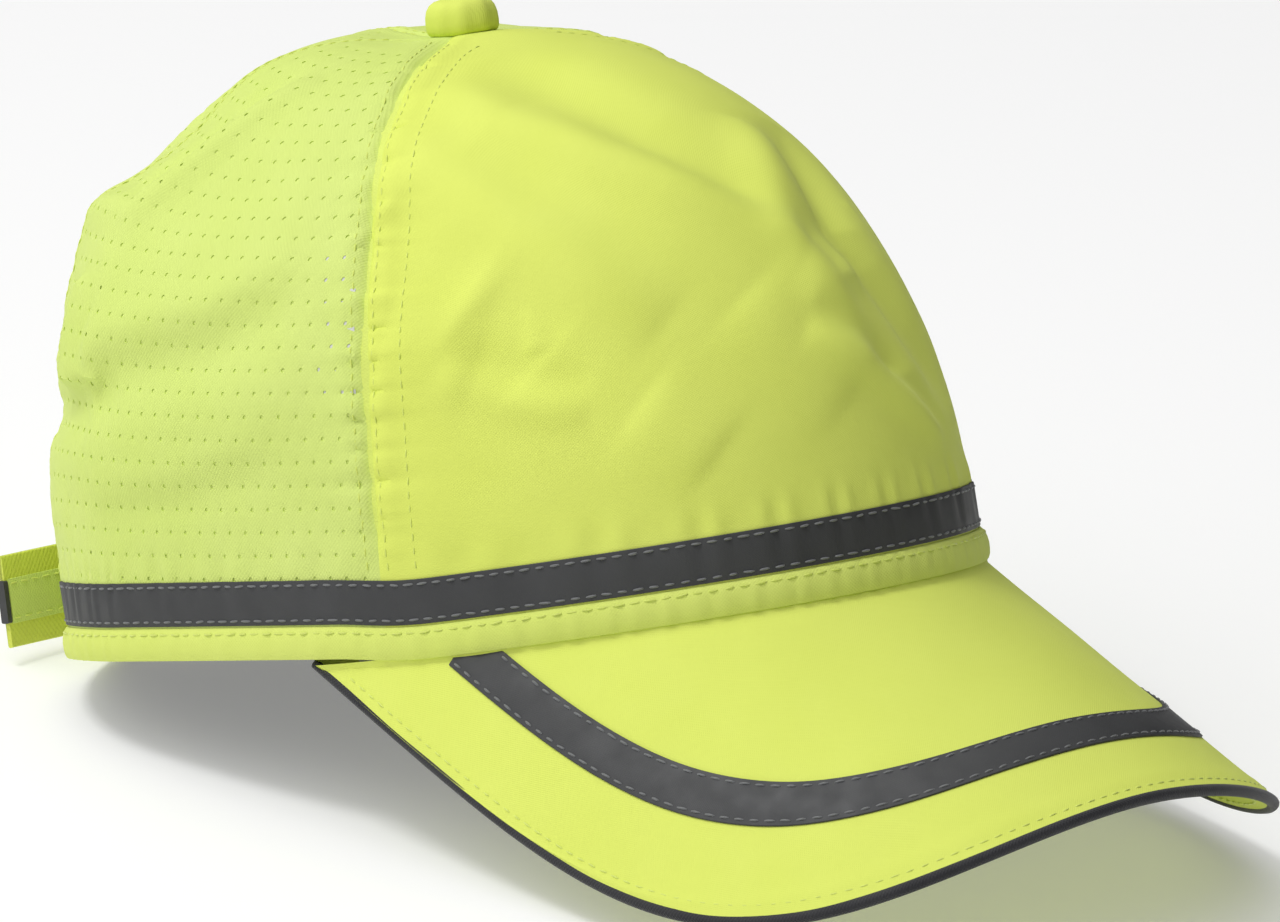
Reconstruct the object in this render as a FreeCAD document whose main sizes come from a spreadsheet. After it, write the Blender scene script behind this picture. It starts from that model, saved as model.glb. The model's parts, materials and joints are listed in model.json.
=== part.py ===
"""Bump cap: a soft cap with a curved brim over a removable impact shell.

Sizes are in millimetres. Everything is modelled in a head frame: +X forward over
the brim, +Y to the wearer's left, +Z up, with the origin inside the head opening.
The crown is a free-form surface: an egg-shaped rim outline drawn in towards the
button along meridians. A place on it is given by a turn (degrees from the front,
positive to the wearer's right) and a rise (millimetres along the meridian, measured
up from the rim). Insets are depths below that surface, so a negative inset lies on it.
At the end the cap is tipped back until it stands on the two low points of its
brim and on the back of its rim, and is moved so that the origin is below its middle.
"""
import FreeCAD
import Part
import math
import os

Vector = FreeCAD.Vector
doc = FreeCAD.newDocument("bump_cap")

# ---------------------------------------------------------------- driving sizes
SIZES = {
    # crown
    "crown_front_length": 138.6,   # front semi-axis of the rim outline
    "crown_back_length": 61.4,     # rear semi-axis of the rim outline
    "crown_half_width": 82.3,
    "crown_height": 124.0,
    "button_back": 8.1,            # the button stands this far behind the middle
    "panel_thick": 1.2,
    "seam_turn": 60.0,             # front panel to side panel
    "back_seam_turn": 120.0,       # side panel to rear panel
    "top_hole": 0.05,              # radius of the hole under the button, as a share
    # brim
    "brim_radius": 83.1,           # radius of its bend, at the top face
    "brim_pitch": 32.7,
    "brim_root": 10.0,             # height of its top face at the middle of the rim
    "brim_reach": 74.8,
    "brim_half_width": 95.3,       # measured along the bend
    "brim_tail": 72.0,             # how far its sides run back beside the crown
    "fabric_thick": 0.7,
    "board_thick": 1.5,
    "piping_wide": 1.8,
    "tape_thick": 0.4,
    "brim_tape_inset": 17.0,
    "tape_wide": 8.8,
    "crown_tape_rise": 6.8,
    "hem_thick": 1.0,
    # rear opening and strap
    "arch_half_width": 36.0,
    "arch_spring": 16.0,           # height at which the arch's curve begins
    "strap_high": 19.0,
    "strap_low": 9.5,
    "strap_thick": 1.2,
    "strap_inner_radius": 92.5,
    "strap_centre": -10.7,
    "touch_thick": 0.8,            # hook or loop strip
    "touch_gap": 0.35,
    "tail_straight": 50.0,
    # inside
    "sweatband_high": 31.0,
    "sweatband_thick": 1.5,
    "shell_inset": 5.0,
    "shell_thick": 2.0,
    "shell_rise": 19.0,
    "pad_thick": 5.0,
    # button
    "button_radius": 7.2,
    "button_high": 6.6,
    "core_radius": 6.0,
    "shank_radius": 1.5,
}

sheet = doc.addObject("Spreadsheet::Sheet", "Sizes")
for row, (alias, value) in enumerate(SIZES.items(), start=1):
    sheet.set(f"A{row}", alias)
    sheet.set(f"B{row}", str(value))
    sheet.setAlias(f"B{row}", alias)
doc.recompute()


def size(alias):
    """A driving size, as the sheet holds it."""
    return float(sheet.get(alias))


nodes = []


def keep(obj, label):
    """Make an object one of the cap's sub-parts."""
    obj.Label = label
    nodes.append(obj)
    return obj


# ---------------------------------------------------------------- crown surface
PITCH = math.radians(size("brim_pitch"))
CROWN_FRONT = 100.0                # x of the rim at the middle of the brim
CROWN_MIDDLE = CROWN_FRONT - size("crown_front_length")
HEIGHT = size("crown_height")
EAR_X = -40.0                      # the rim arches up over the ears
EAR_TOP = 9.0
EAR_FRONT = (75.0, 1.8)            # its reach in front of the arch's top, and its fall there
EAR_BACK = (54.0, 5.0)             # and behind it
RIM_LIFT = 0.3                     # the crown stands this far clear of the brim
MERIDIAN_STEPS = 240


def smooth(low, high, value):
    """0 below low, 1 above high, and a smooth rise between them."""
    share = min(max((value - low) / (high - low), 0.0), 1.0)
    return share * share * (3.0 - 2.0 * share)


def rim_outline(turn):
    """Plan position of the rim."""
    angle = math.radians(turn)
    forward = math.cos(angle)
    length = size("crown_front_length") if forward > 0 else size("crown_back_length")
    return CROWN_MIDDLE + length * forward, -size("crown_half_width") * math.sin(angle)


def brim_height(x, y):
    """Height of the brim's top face."""
    bend = size("brim_radius")
    drop = bend - math.sqrt(max(bend * bend - y * y, 0.0))
    return size("brim_root") - (x - CROWN_FRONT) * math.tan(PITCH) - drop / math.cos(PITCH)


def rim_height(x, y):
    """Height of the rim: on the brim in front, arched over the ears behind it."""
    if x > EAR_X:
        ear = EAR_TOP - EAR_FRONT[1] * ((x - EAR_X) / EAR_FRONT[0]) ** 2
    else:
        ear = EAR_TOP - EAR_BACK[1] * ((EAR_X - x) / EAR_BACK[0]) ** 3
    share = smooth(20.0, 44.0, x)
    return RIM_LIFT + (1.0 - share) * ear + share * brim_height(x, y)


meridians = {}


def meridian(turn):
    """Points (share of the rim's radius, height) up one meridian, and their lengths."""
    turn = round((turn + 180.0) % 360.0 - 180.0, 4)
    if turn in meridians:
        return meridians[turn]
    back = smooth(35.0, 125.0, abs(turn))
    rise_power = 2.45 + 3.05 * back
    draw_power = 2.2 - 0.6 * back
    slump = 1.2 - 2.7 * math.cos(math.radians(turn))
    rim_x, rim_y = rim_outline(turn)
    start = rim_height(rim_x, rim_y)
    radius = math.hypot(rim_x + size("button_back"), rim_y)
    top = HEIGHT * (1.0 - size("top_hole") ** draw_power) ** (1.0 / rise_power)
    points = []
    length = 0.0
    for step in range(MERIDIAN_STEPS + 1):
        swing = math.sin(0.5 * math.pi * step / MERIDIAN_STEPS)
        z = start + (top - start) * swing
        share = (1.0 - (max(z, 0.0) / HEIGHT) ** rise_power) ** (1.0 / draw_power)
        z += slump * 4.0 * share * (1.0 - share) * smooth(0.05, 0.25, share)
        crest = 2.4 * math.exp(-((share - 0.38) / 0.20) ** 2)
        shoulder = 3.2 * math.exp(-((share - 0.74) / 0.13) ** 2)
        z += back * (crest - shoulder) * smooth(0.05, 0.25, share)
        if points:
            length += math.hypot((share - points[-1][1]) * radius, z - points[-1][2])
        points.append((length, share, z))
    meridians[turn] = points
    return points


def meridian_length(turn):
    return meridian(turn)[-1][0]


def crown_skin(turn, rise):
    """A point of the crown's outer surface."""
    points = meridian(turn)
    low, high = 0, len(points) - 1
    while high - low > 1:
        middle = (low + high) // 2
        if points[middle][0] <= rise:
            low = middle
        else:
            high = middle
    share = (rise - points[low][0]) / (points[high][0] - points[low][0])
    draw = points[low][1] + share * (points[high][1] - points[low][1])
    z = points[low][2] + share * (points[high][2] - points[low][2])
    rim_x, rim_y = rim_outline(turn)
    button_x = -size("button_back")
    return Vector(button_x + draw * (rim_x - button_x), draw * rim_y, z)


def crown_point(turn, rise, inset):
    """A point below the crown's outer surface, square to it."""
    reach = min(max(rise, 1.0), meridian_length(turn) - 1.0)
    across = crown_skin(turn - 1.5, reach) - crown_skin(turn + 1.5, reach)
    along = crown_skin(turn, reach + 1.0) - crown_skin(turn, reach - 1.0)
    outward = across.cross(along)
    outward.normalize()
    return crown_skin(turn, rise) - outward * inset


def solid_between(outer, inner):
    """The closed solid between two grids of points that face each other."""
    faces = []
    skins = []
    for grid in (outer, inner):
        surface = Part.BSplineSurface()
        surface.interpolate(grid)
        skins.append(surface)
        faces.append(surface.toShape())
    for low_u in (True, False):
        sides = []
        for surface in skins:
            bounds = surface.bounds()
            sides.append(surface.uIso(bounds[0] if low_u else bounds[1]).toShape())
        faces.append(Part.makeRuledSurface(sides[0], sides[1]))
    for low_v in (True, False):
        sides = []
        for surface in skins:
            bounds = surface.bounds()
            sides.append(surface.vIso(bounds[2] if low_v else bounds[3]).toShape())
        faces.append(Part.makeRuledSurface(sides[0], sides[1]))
    hull = Part.Shell(faces)
    hull.sewShape()
    solid = Part.Solid(hull)
    if solid.Volume < 0:
        solid.reverse()
    return solid


def crown_layer(turns, rises, insets, step=3.0, rows=9):
    """A layer of the crown between two turns, two rises and two insets.

    A rise is a number, or a function of the turn.
    """
    columns = max(3, int(math.ceil(abs(turns[1] - turns[0]) / step)))
    grids = []
    for inset in insets:
        grid = []
        for column in range(columns + 1):
            turn = turns[0] + (turns[1] - turns[0]) * column / columns
            low, high = [rise(turn) if callable(rise) else rise for rise in rises]
            grid.append([crown_point(turn, low + (high - low) * place / rows, inset)
                         for place in range(rows + 1)])
        grids.append(grid)
    return solid_between(grids[0], grids[1])


def crown_part(label, shape):
    """A sub-part with a free-form shape."""
    obj = doc.addObject("Part::Feature", label)
    obj.Shape = shape
    return keep(obj, label)


# ---------------------------------------------------------------- crown panels
panel = size("panel_thick")
seam = size("seam_turn")
back_seam = size("back_seam_turn")

crown_part("front_panel", crown_layer((-seam, seam), (0.0, meridian_length), (0.0, panel), rows=30))
crown_part("side_mesh_panel_right",
           crown_layer((seam, back_seam), (0.0, meridian_length), (0.0, panel), rows=30))
crown_part("side_mesh_panel_left",
           crown_layer((-back_seam, -seam), (0.0, meridian_length), (0.0, panel), rows=30))

# The arch over the strap is cut through both rear panels.
arch = doc.addObject("Part::Box", "arch_legs")
arch.setExpression("Length", "60")
arch.setExpression("Width", "2 * Sizes.arch_half_width")
arch.setExpression("Height", "Sizes.arch_spring + 40")
arch.Placement.Base = Vector(-130.0, -size("arch_half_width"), -40.0)
arch_round = doc.addObject("Part::Cylinder", "arch_round")
arch_round.setExpression("Radius", "Sizes.arch_half_width")
arch_round.setExpression("Height", "60")
arch_round.Placement = FreeCAD.Placement(Vector(-130.0, 0.0, size("arch_spring")),
                                         FreeCAD.Rotation(Vector(0, 1, 0), 90))
arch_tool = doc.addObject("Part::Fuse", "arch_tool")
arch_tool.Base = arch
arch_tool.Tool = arch_round

for side, turns in (("right", (back_seam, 180.0)), ("left", (-180.0, -back_seam))):
    blank = doc.addObject("Part::Feature", f"rear_blank_{side}")
    blank.Shape = crown_layer(turns, (0.0, meridian_length), (0.0, panel), rows=30)
    cut = doc.addObject("Part::Cut", f"rear_mesh_panel_{side}")
    cut.Base = blank
    cut.Tool = arch_tool
    keep(cut, f"rear_mesh_panel_{side}")

# ---------------------------------------------------------------- crown lining and trim
LINING_TURN = seam - 3.4
LINING_THICK = 0.7
LAYER_GAP = 0.08
lining_inset = panel + LAYER_GAP
crown_part("front_lining",
           crown_layer((-LINING_TURN, LINING_TURN), (3.0, lambda turn: meridian_length(turn) - 26.0),
                       (lining_inset, lining_inset + LINING_THICK), rows=24))

SEAM_TAPE_THICK = 0.5
SEAM_TAPE_TURN = 3.0
for label, turn in (("front_right", seam), ("front_left", -seam),
                    ("side_right", back_seam), ("side_left", -back_seam)):
    crown_part(f"seam_tape_{label}",
               crown_layer((turn - SEAM_TAPE_TURN, turn + SEAM_TAPE_TURN),
                           (3.0, lambda turn: meridian_length(turn) - 22.0),
                           (lining_inset, lining_inset + SEAM_TAPE_THICK), rows=24))

arch_top = size("arch_spring") + size("arch_half_width")
crown_part("seam_tape_back",
           crown_layer((176.0, 184.0), (arch_top + 9.0, lambda turn: meridian_length(turn) - 22.0),
                       (lining_inset, lining_inset + SEAM_TAPE_THICK), rows=24))

# The strip round the rim stops at the arch's legs.
LEG_TURN = 180.0 - math.degrees(math.asin(size("arch_half_width") / size("crown_half_width"))) - 1.0
TRIM_GAP = 0.12
TAPE_GAP = 0.20
hem = size("hem_thick")
tape_rise = size("crown_tape_rise")
tape_top = tape_rise + size("tape_wide")
crown_part("rim_hem",
           crown_layer((-LEG_TURN, LEG_TURN), (0.0, tape_rise - 0.3), (-hem, -TRIM_GAP), step=1.0, rows=3))
crown_part("crown_reflective_tape",
           crown_layer((-LEG_TURN, LEG_TURN), (tape_rise, tape_top), (-size("tape_thick"), -TAPE_GAP), step=1.0, rows=3))

band_inset = lining_inset + LINING_THICK + 0.15
crown_part("sweatband",
           crown_layer((-LEG_TURN + 1.0, LEG_TURN - 1.0), (1.0, 1.0 + size("sweatband_high")),
                       (band_inset, band_inset + size("sweatband_thick")), rows=6))


BINDING_FEET = (4.6, 8.3, 12.0)    # heights along the arch's straight legs


def arch_binding():
    """A folded strip round the arch: up one leg, over the top and down the other."""
    reach = size("arch_half_width")
    spring = size("arch_spring")

    def surface_x(y, z):
        """Distance back to the crown's surface at a height and a side distance."""
        low, high = 100.0, 180.0
        for _ in range(40):
            turn = 0.5 * (low + high)
            rise_low, rise_high = 0.0, meridian_length(turn)
            for _ in range(40):
                rise = 0.5 * (rise_low + rise_high)
                if crown_skin(turn, rise).z < z:
                    rise_low = rise
                else:
                    rise_high = rise
            if abs(crown_skin(turn, rise).y) > abs(y):
                low = turn
            else:
                high = turn
        return crown_skin(turn, rise).x

    route = []
    for z in BINDING_FEET:
        route.append((1.0, 0.0, z))
    for step in range(13):
        angle = math.pi * step / 12.0
        route.append((math.cos(angle), math.sin(angle), spring))
    for z in reversed(BINDING_FEET):
        route.append((-1.0, 0.0, z))
    grids = []
    for depth in (-0.9, panel + 0.9):
        grid = []
        for side, up, base in route:
            line = []
            for width in (reach - 0.9, reach - 0.05):
                y = side * width
                z = base + up * width
                line.append(Vector(surface_x(y, z) + depth, y, z))
            grid.append([line[0], (line[0] + line[1]) * 0.5, line[1]])
        grids.append(grid)
    return solid_between(grids[0], grids[1])


crown_part("arch_binding", arch_binding())

# ---------------------------------------------------------------- brim
BRIM_PLACE = FreeCAD.Placement(Vector(CROWN_FRONT, 0.0, size("brim_root")),
                               FreeCAD.Rotation(Vector(0, 1, 0), size("brim_pitch")))
BRIM_SIDE_POWER = 2.5
BRIM_TIP_POWER = 4.2
BRIM_POINTS = 36


def brim_prism(name, inset):
    """Everything above and below the brim's outline, drawn in by an inset."""
    bend = size("brim_radius")
    half = size("brim_half_width") - inset
    reach = size("brim_reach") + size("brim_tail") - inset
    points = []
    for step in range(BRIM_POINTS + 1):
        angle = math.pi * (step / BRIM_POINTS - 0.5)
        across = math.copysign(abs(math.sin(angle)) ** (2.0 / BRIM_SIDE_POWER), angle) * half
        along = math.cos(angle) ** (2.0 / BRIM_TIP_POWER) * reach if step % BRIM_POINTS else 0.0
        points.append(Vector(along - size("brim_tail"), bend * math.sin(across / bend), 0.0))
    curve = Part.BSplineCurve()
    curve.interpolate(points)
    base = Part.LineSegment(points[-1], points[0])
    outline = Part.Face(Part.Wire([curve.toShape(), base.toShape()]))
    outline.translate(Vector(0.0, 0.0, -bend))
    prism = doc.addObject("Part::Feature", name)
    prism.Shape = outline.extrude(Vector(0.0, 0.0, bend + 10.0))
    prism.Placement = BRIM_PLACE
    return prism


def head_prism(name, inset):
    """The room inside the rim's outline, drawn in by an inset."""
    points = [crown_point(turn, 1.0, inset) for turn in range(-176, 181, 4)]
    points = [Vector(point.x, point.y, -70.0) for point in points]
    curve = Part.BSplineCurve()
    curve.interpolate(Points=points, PeriodicFlag=True)
    prism = doc.addObject("Part::Feature", name)
    prism.Shape = Part.Face(Part.Wire([curve.toShape()])).extrude(Vector(0.0, 0.0, 160.0))
    return prism


def bend_cylinder(name, offset):
    """A round bar along the bend, offset from the brim's top face."""
    bar = doc.addObject("Part::Cylinder", name)
    bar.setExpression("Radius", f"Sizes.brim_radius + ({offset})")
    bar.setExpression("Height", "Sizes.brim_reach + Sizes.brim_tail + 20")
    local = FreeCAD.Placement(Vector(-size("brim_tail") - 5.0, 0.0, -size("brim_radius")),
                              FreeCAD.Rotation(Vector(0, 1, 0), 90))
    bar.Placement = BRIM_PLACE.multiply(local)
    return bar


def boolean(kind, name, base, tool):
    result = doc.addObject(f"Part::{kind}", name)
    result.Base = base
    result.Tool = tool
    return result


def brim_layer(label, offsets, outline, room, hole=None):
    """A bent sheet between two offsets, inside an outline and outside the head."""
    outer = bend_cylinder(f"{label}_outer", offsets[0])
    inner = bend_cylinder(f"{label}_inner", offsets[1])
    bent = boolean("Cut", f"{label}_bent", outer, inner)
    trimmed = boolean("Common", f"{label}_trimmed", bent, outline)
    if hole is not None:
        trimmed = boolean("Cut", f"{label}_ring", trimmed, hole)
    return keep(boolean("Cut", label, trimmed, room), label)


outline_full = brim_prism("brim_outline", 0.0)
outline_piping = brim_prism("brim_outline_piping", -size("piping_wide"))
outline_board = brim_prism("brim_outline_board", 2.5)
outline_tape = brim_prism("brim_outline_tape", size("brim_tape_inset"))
outline_tape_in = brim_prism("brim_outline_tape_inner", size("brim_tape_inset") + size("tape_wide"))
room_top = head_prism("head_room_top", -0.05)
room_hem = head_prism("head_room_hem", -hem - 0.1)
room_under = head_prism("head_room_under", panel + 0.2)

TOP = "-Sizes.fabric_thick"
BOARD = "-Sizes.fabric_thick - Sizes.board_thick"
BOTTOM = "-2 * Sizes.fabric_thick - Sizes.board_thick"
brim_layer("brim_top_fabric", ("0", TOP), outline_full, room_top)
brim_layer("brim_board", (TOP, BOARD), outline_board, room_top)
brim_layer("brim_bottom_fabric", (BOARD, BOTTOM), outline_full, room_under)
brim_layer("brim_edge_piping", ("0.2", BOTTOM + " - 0.2"), outline_piping, room_hem, outline_full)
brim_layer("brim_reflective_tape", ("Sizes.tape_thick", "0"), outline_tape, room_hem, outline_tape_in)

# ---------------------------------------------------------------- button
BUTTON_SEAT = HEIGHT + 0.6


def new_body(label):
    return keep(doc.addObject("PartDesign::Body", label), label)


def plane_sketch(body, name, role):
    """An empty sketch on one of a body's own planes."""
    sketch = body.newObject("Sketcher::SketchObject", name)
    plane = [item for item in body.Origin.OriginFeatures if item.Role == role][0]
    sketch.AttachmentSupport = [(plane, "")]
    sketch.MapMode = "FlatFace"
    return sketch


def closed_lines(sketch, points):
    corners = [Vector(x, y, 0.0) for x, y in points]
    for start, end in zip(corners, corners[1:] + corners[:1]):
        sketch.addGeometry(Part.LineSegment(start, end), False)


def turned(label, profile, base_z):
    """A body turned about the button's axis from a profile of (radius, height)."""
    body = new_body(label)
    sketch = plane_sketch(body, f"{label}_profile", "XZ_Plane")
    closed_lines(sketch, profile)
    spin = body.newObject("PartDesign::Revolution", f"{label}_turned")
    spin.Profile = sketch
    spin.ReferenceAxis = (sketch, ["V_Axis"])
    spin.Angle = 360.0
    body.Placement.Base = Vector(-size("button_back"), 0.0, base_z)
    return body


button_radius = size("button_radius")
button_high = size("button_high")
core_radius = size("core_radius")
core_high = button_high - 1.0
turned("button_cover", [(core_radius + 0.1, 0.0), (button_radius, 0.0), (button_radius, 2.0),
                        (button_radius - 0.7, button_high - 0.9), (button_radius - 2.2, button_high),
                        (0.0, button_high), (0.0, core_high + 0.1), (core_radius + 0.1 - 0.6, core_high + 0.1),
                        (core_radius + 0.1, core_high - 1.0)], BUTTON_SEAT)
shank = size("shank_radius")
SHANK_DEEP = 4.4
turned("button_rivet", [(0.0, -SHANK_DEEP), (shank, -SHANK_DEEP), (shank, 0.0), (core_radius, 0.0),
                        (core_radius, core_high - 1.1), (core_radius - 0.6, core_high), (0.0, core_high)],
       BUTTON_SEAT)
turned("button_washer", [(shank + 0.05, -SHANK_DEEP), (core_radius, -SHANK_DEEP),
                         (core_radius, -SHANK_DEEP + 0.8), (shank + 0.05, -SHANK_DEEP + 0.8)], BUTTON_SEAT)

# ---------------------------------------------------------------- rear strap
STRAP_CENTRE = Vector(size("strap_centre"), 0.0, size("strap_low"))


def strap_point(radius, angle):
    """A point of the strap's circle; the angle runs from the back to the wearer's right."""
    turn = math.radians(angle)
    return Vector(-radius * math.cos(turn), -radius * math.sin(turn), 0.0)


strap_thick = size("strap_thick")
touch = size("touch_thick")
layer = 0.05
under_inner = size("strap_inner_radius")
under_outer = under_inner + strap_thick
loop_outer = under_outer + layer + touch
hook_inner = loop_outer + size("touch_gap")
tail_inner = hook_inner + touch + layer
tail_outer = tail_inner + strap_thick


def strap_strip(label, radii, angles, margin, straight=0.0):
    """A strip along the strap's circle, a margin inside the strap's two edges.

    It can run on in a straight end.
    """
    body = new_body(label)
    sketch = plane_sketch(body, f"{label}_path", "XY_Plane")
    middle = 0.5 * (angles[0] + angles[1])
    heading = math.radians(angles[1])
    tangent = Vector(math.sin(heading), -math.cos(heading), 0.0) * straight
    starts = [strap_point(radius, angles[0]) for radius in radii]
    ends = [strap_point(radius, angles[1]) for radius in radii]
    tips = [end + tangent for end in ends]
    for radius, start, end in zip(radii, starts, ends):
        sketch.addGeometry(Part.Arc(start, strap_point(radius, middle), end), False)
    sketch.addGeometry(Part.LineSegment(starts[0], starts[1]), False)
    sketch.addGeometry(Part.LineSegment(tips[0], tips[1]), False)
    if straight:
        for end, tip in zip(ends, tips):
            sketch.addGeometry(Part.LineSegment(end, tip), False)
    pad = body.newObject("PartDesign::Pad", f"{label}_pad")
    pad.Profile = sketch
    pad.setExpression("Length", f"Sizes.strap_high - 2 * {margin}")
    body.Placement.Base = STRAP_CENTRE + Vector(0.0, 0.0, margin)
    return body


tape_margin = 0.5 * (size("strap_high") - size("tape_wide"))
straight = size("tail_straight")
strap_strip("strap_right", (under_inner, under_outer), (-12.0, 31.0), 0.0)
strap_strip("strap_loop_strip", (under_outer + layer, loop_outer), (-11.0, 20.0), 1.0)
strap_strip("strap_tail", (tail_inner, tail_outer), (-26.0, 9.0), 0.0, straight)
strap_strip("strap_hook_strip", (hook_inner, hook_inner + touch), (-12.0, 9.0), 1.0, 0.3 * straight)
strap_strip("strap_reflective_tape", (tail_outer + layer, tail_outer + layer + size("tape_thick")),
           (-25.0, 9.0), tape_margin, straight - 0.5)
crown_part("strap_anchor_left",
           crown_layer((-152.0, -146.0), (8.0, 24.0), (-hem - 0.1, -4.0), rows=3))

# ---------------------------------------------------------------- impact insert
shell_inset = size("shell_inset")
shell_inner = shell_inset + size("shell_thick")
shell_rise = size("shell_rise")
SHELL_TOP_GAP = 6.0
PAD_GAP = 0.3
WALL_PAD_GAP = 0.9


def under_top(gap):
    """The rise that stops short of the button's hole by a gap."""
    return lambda turn: meridian_length(turn) - gap


def closed_ring(name, rises, insets, rows):
    """A ring right round the crown, made of a left and a right half."""
    halves = []
    for side, turns in (("right", (0.0, 180.0)), ("left", (-180.0, 0.0))):
        half = doc.addObject("Part::Feature", f"{name}_{side}")
        half.Shape = crown_layer(turns, rises, insets, step=1.8, rows=rows)
        halves.append(half)
    return boolean("Fuse", name, halves[0], halves[1])


shell_blank = closed_ring("shell_blank", (shell_rise, under_top(SHELL_TOP_GAP)), (shell_inset, shell_inner), 26)

VENT_RADIUS = 4.0
VENT_REACH = 40.0
VENT_ROWS = (
    # rise of the vent's middle, its length, and its turns
    (52.0, 20.0, (15, 45, 75, 105, 135, 165)),
    (84.0, 18.0, (0, 36, 90, 144, 180)),
)


def vent(turn, rise, length):
    """A slot with round ends, square to the shell."""
    middle = crown_point(turn, rise, 0.0)
    inward = crown_point(turn, rise, 1.0) - middle
    along = crown_skin(turn, rise + 1.0) - crown_skin(turn, rise - 1.0)
    across = along.cross(inward)
    half = 0.5 * length - VENT_RADIUS
    slot = Part.makeBox(2.0 * VENT_RADIUS, 2.0 * half, VENT_REACH,
                        Vector(-VENT_RADIUS, -half, -VENT_REACH * 0.5))
    for end in (-half, half):
        slot = slot.fuse(Part.makeCylinder(VENT_RADIUS, VENT_REACH, Vector(0.0, end, -VENT_REACH * 0.5)))
    slot = slot.removeSplitter()
    slot.Placement = FreeCAD.Placement(middle, FreeCAD.Rotation(across, along, inward, "ZXY"))
    return slot


slots = []
for rise, length, turns in VENT_ROWS:
    for turn in turns:
        slots.append(vent(turn, rise, length))
        if turn % 180:
            slots.append(vent(-turn, rise, length))
vent_tool = doc.addObject("Part::Feature", "shell_vents")
vent_tool.Shape = Part.makeCompound(slots)
keep(boolean("Cut", "insert_shell", shell_blank, vent_tool), "insert_shell")

pad_insets = (shell_inner + PAD_GAP, shell_inner + PAD_GAP + size("pad_thick"))
wall_pad_insets = (shell_inner + WALL_PAD_GAP, shell_inner + WALL_PAD_GAP + size("pad_thick"))
for label, turns in (("front", (-26.0, 26.0)), ("right", (60.0, 120.0)),
                     ("left", (-120.0, -60.0)), ("rear", (154.0, 206.0))):
    crown_part(f"insert_pad_{label}",
               crown_layer(turns, (shell_rise + 3.0, shell_rise + 40.0), wall_pad_insets, step=1.5, rows=10))
keep(closed_ring("insert_pad_crown", (under_top(46.0), under_top(14.0)), pad_insets, 10), "insert_pad_crown")

TAB_RISE = (58.0, 76.0)
TAB_TURNS = (34.0, -34.0, 100.0, -100.0)
TAB_THICK = 1.0


def tab_group(label, insets):
    """The hook or loop squares that hold the insert, as one group of solids."""
    squares = [crown_layer((turn - 6.0, turn + 6.0), TAB_RISE, insets(turn), rows=3) for turn in TAB_TURNS]
    return crown_part(label, Part.makeCompound(squares))


tab_outer = shell_inset - LAYER_GAP - TAB_THICK
tab_group("insert_hook_tabs", lambda turn: (tab_outer, shell_inset - LAYER_GAP))
tab_group("crown_loop_tabs",
          lambda turn: (lining_inset if abs(turn) > seam else band_inset, tab_outer - size("touch_gap")))

# ---------------------------------------------------------------- stand the cap up
doc.recompute()


def corners(objects, placement):
    """Points over the surfaces of some sub-parts, after a placement."""
    cloud = []
    for obj in objects:
        cloud.extend(placement.multVec(point) for point in obj.Shape.tessellate(0.2)[0])
    return cloud


def lowest(label, placement):
    matches = [obj for obj in nodes if obj.Label == label]
    return min(point.z for point in corners(matches, placement))


low_tip, high_tip = 5.0, 18.0
for _ in range(16):
    tip = 0.5 * (low_tip + high_tip)
    trial = FreeCAD.Placement(Vector(), FreeCAD.Rotation(Vector(0, 1, 0), -tip))
    if lowest("brim_edge_piping", trial) < lowest("rim_hem", trial):
        low_tip = tip
    else:
        high_tip = tip

tipped = FreeCAD.Placement(Vector(), FreeCAD.Rotation(Vector(0, 1, 0), -tip))
cloud = corners(nodes, tipped)
shift = Vector(-0.5 * (min(point.x for point in cloud) + max(point.x for point in cloud)),
               -0.5 * (min(point.y for point in cloud) + max(point.y for point in cloud)),
               -min(point.z for point in cloud))
stand = FreeCAD.Placement(shift, tipped.Rotation)
for obj in nodes:
    obj.Placement = stand.multiply(obj.Placement)
doc.recompute()
print("tip", round(tip, 3), "shift", [round(value, 3) for value in shift])

# ---------------------------------------------------------------- check and write
for obj in doc.Objects:
    if "Invalid" in obj.State or "Error" in obj.State:
        raise RuntimeError(f"{obj.Name} failed: {obj.State}")
os.makedirs("parts", exist_ok=True)
for obj in nodes:
    if obj.Shape.isNull() or not obj.Shape.isValid() or not obj.Shape.Solids:
        raise RuntimeError(f"{obj.Label} is not a sound solid")
    obj.Shape.exportStep(f"parts/{obj.Label}.step")
print(len(nodes), "sub-parts")
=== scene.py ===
"""Bump cap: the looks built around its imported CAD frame.

Shapes are worked out in millimetres in the cap's own head frame (+X forward over the
brim, +Y to the wearer's left, +Z up) and to_row() brings them to the row frame.
A place on the crown is a turn (degrees from the front, positive to the wearer's
right) and a rise (millimetres up the meridian from the rim).
"""
import json
import math
import bmesh
import bpy
import numpy as np
from mathutils import Matrix, Vector


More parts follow.
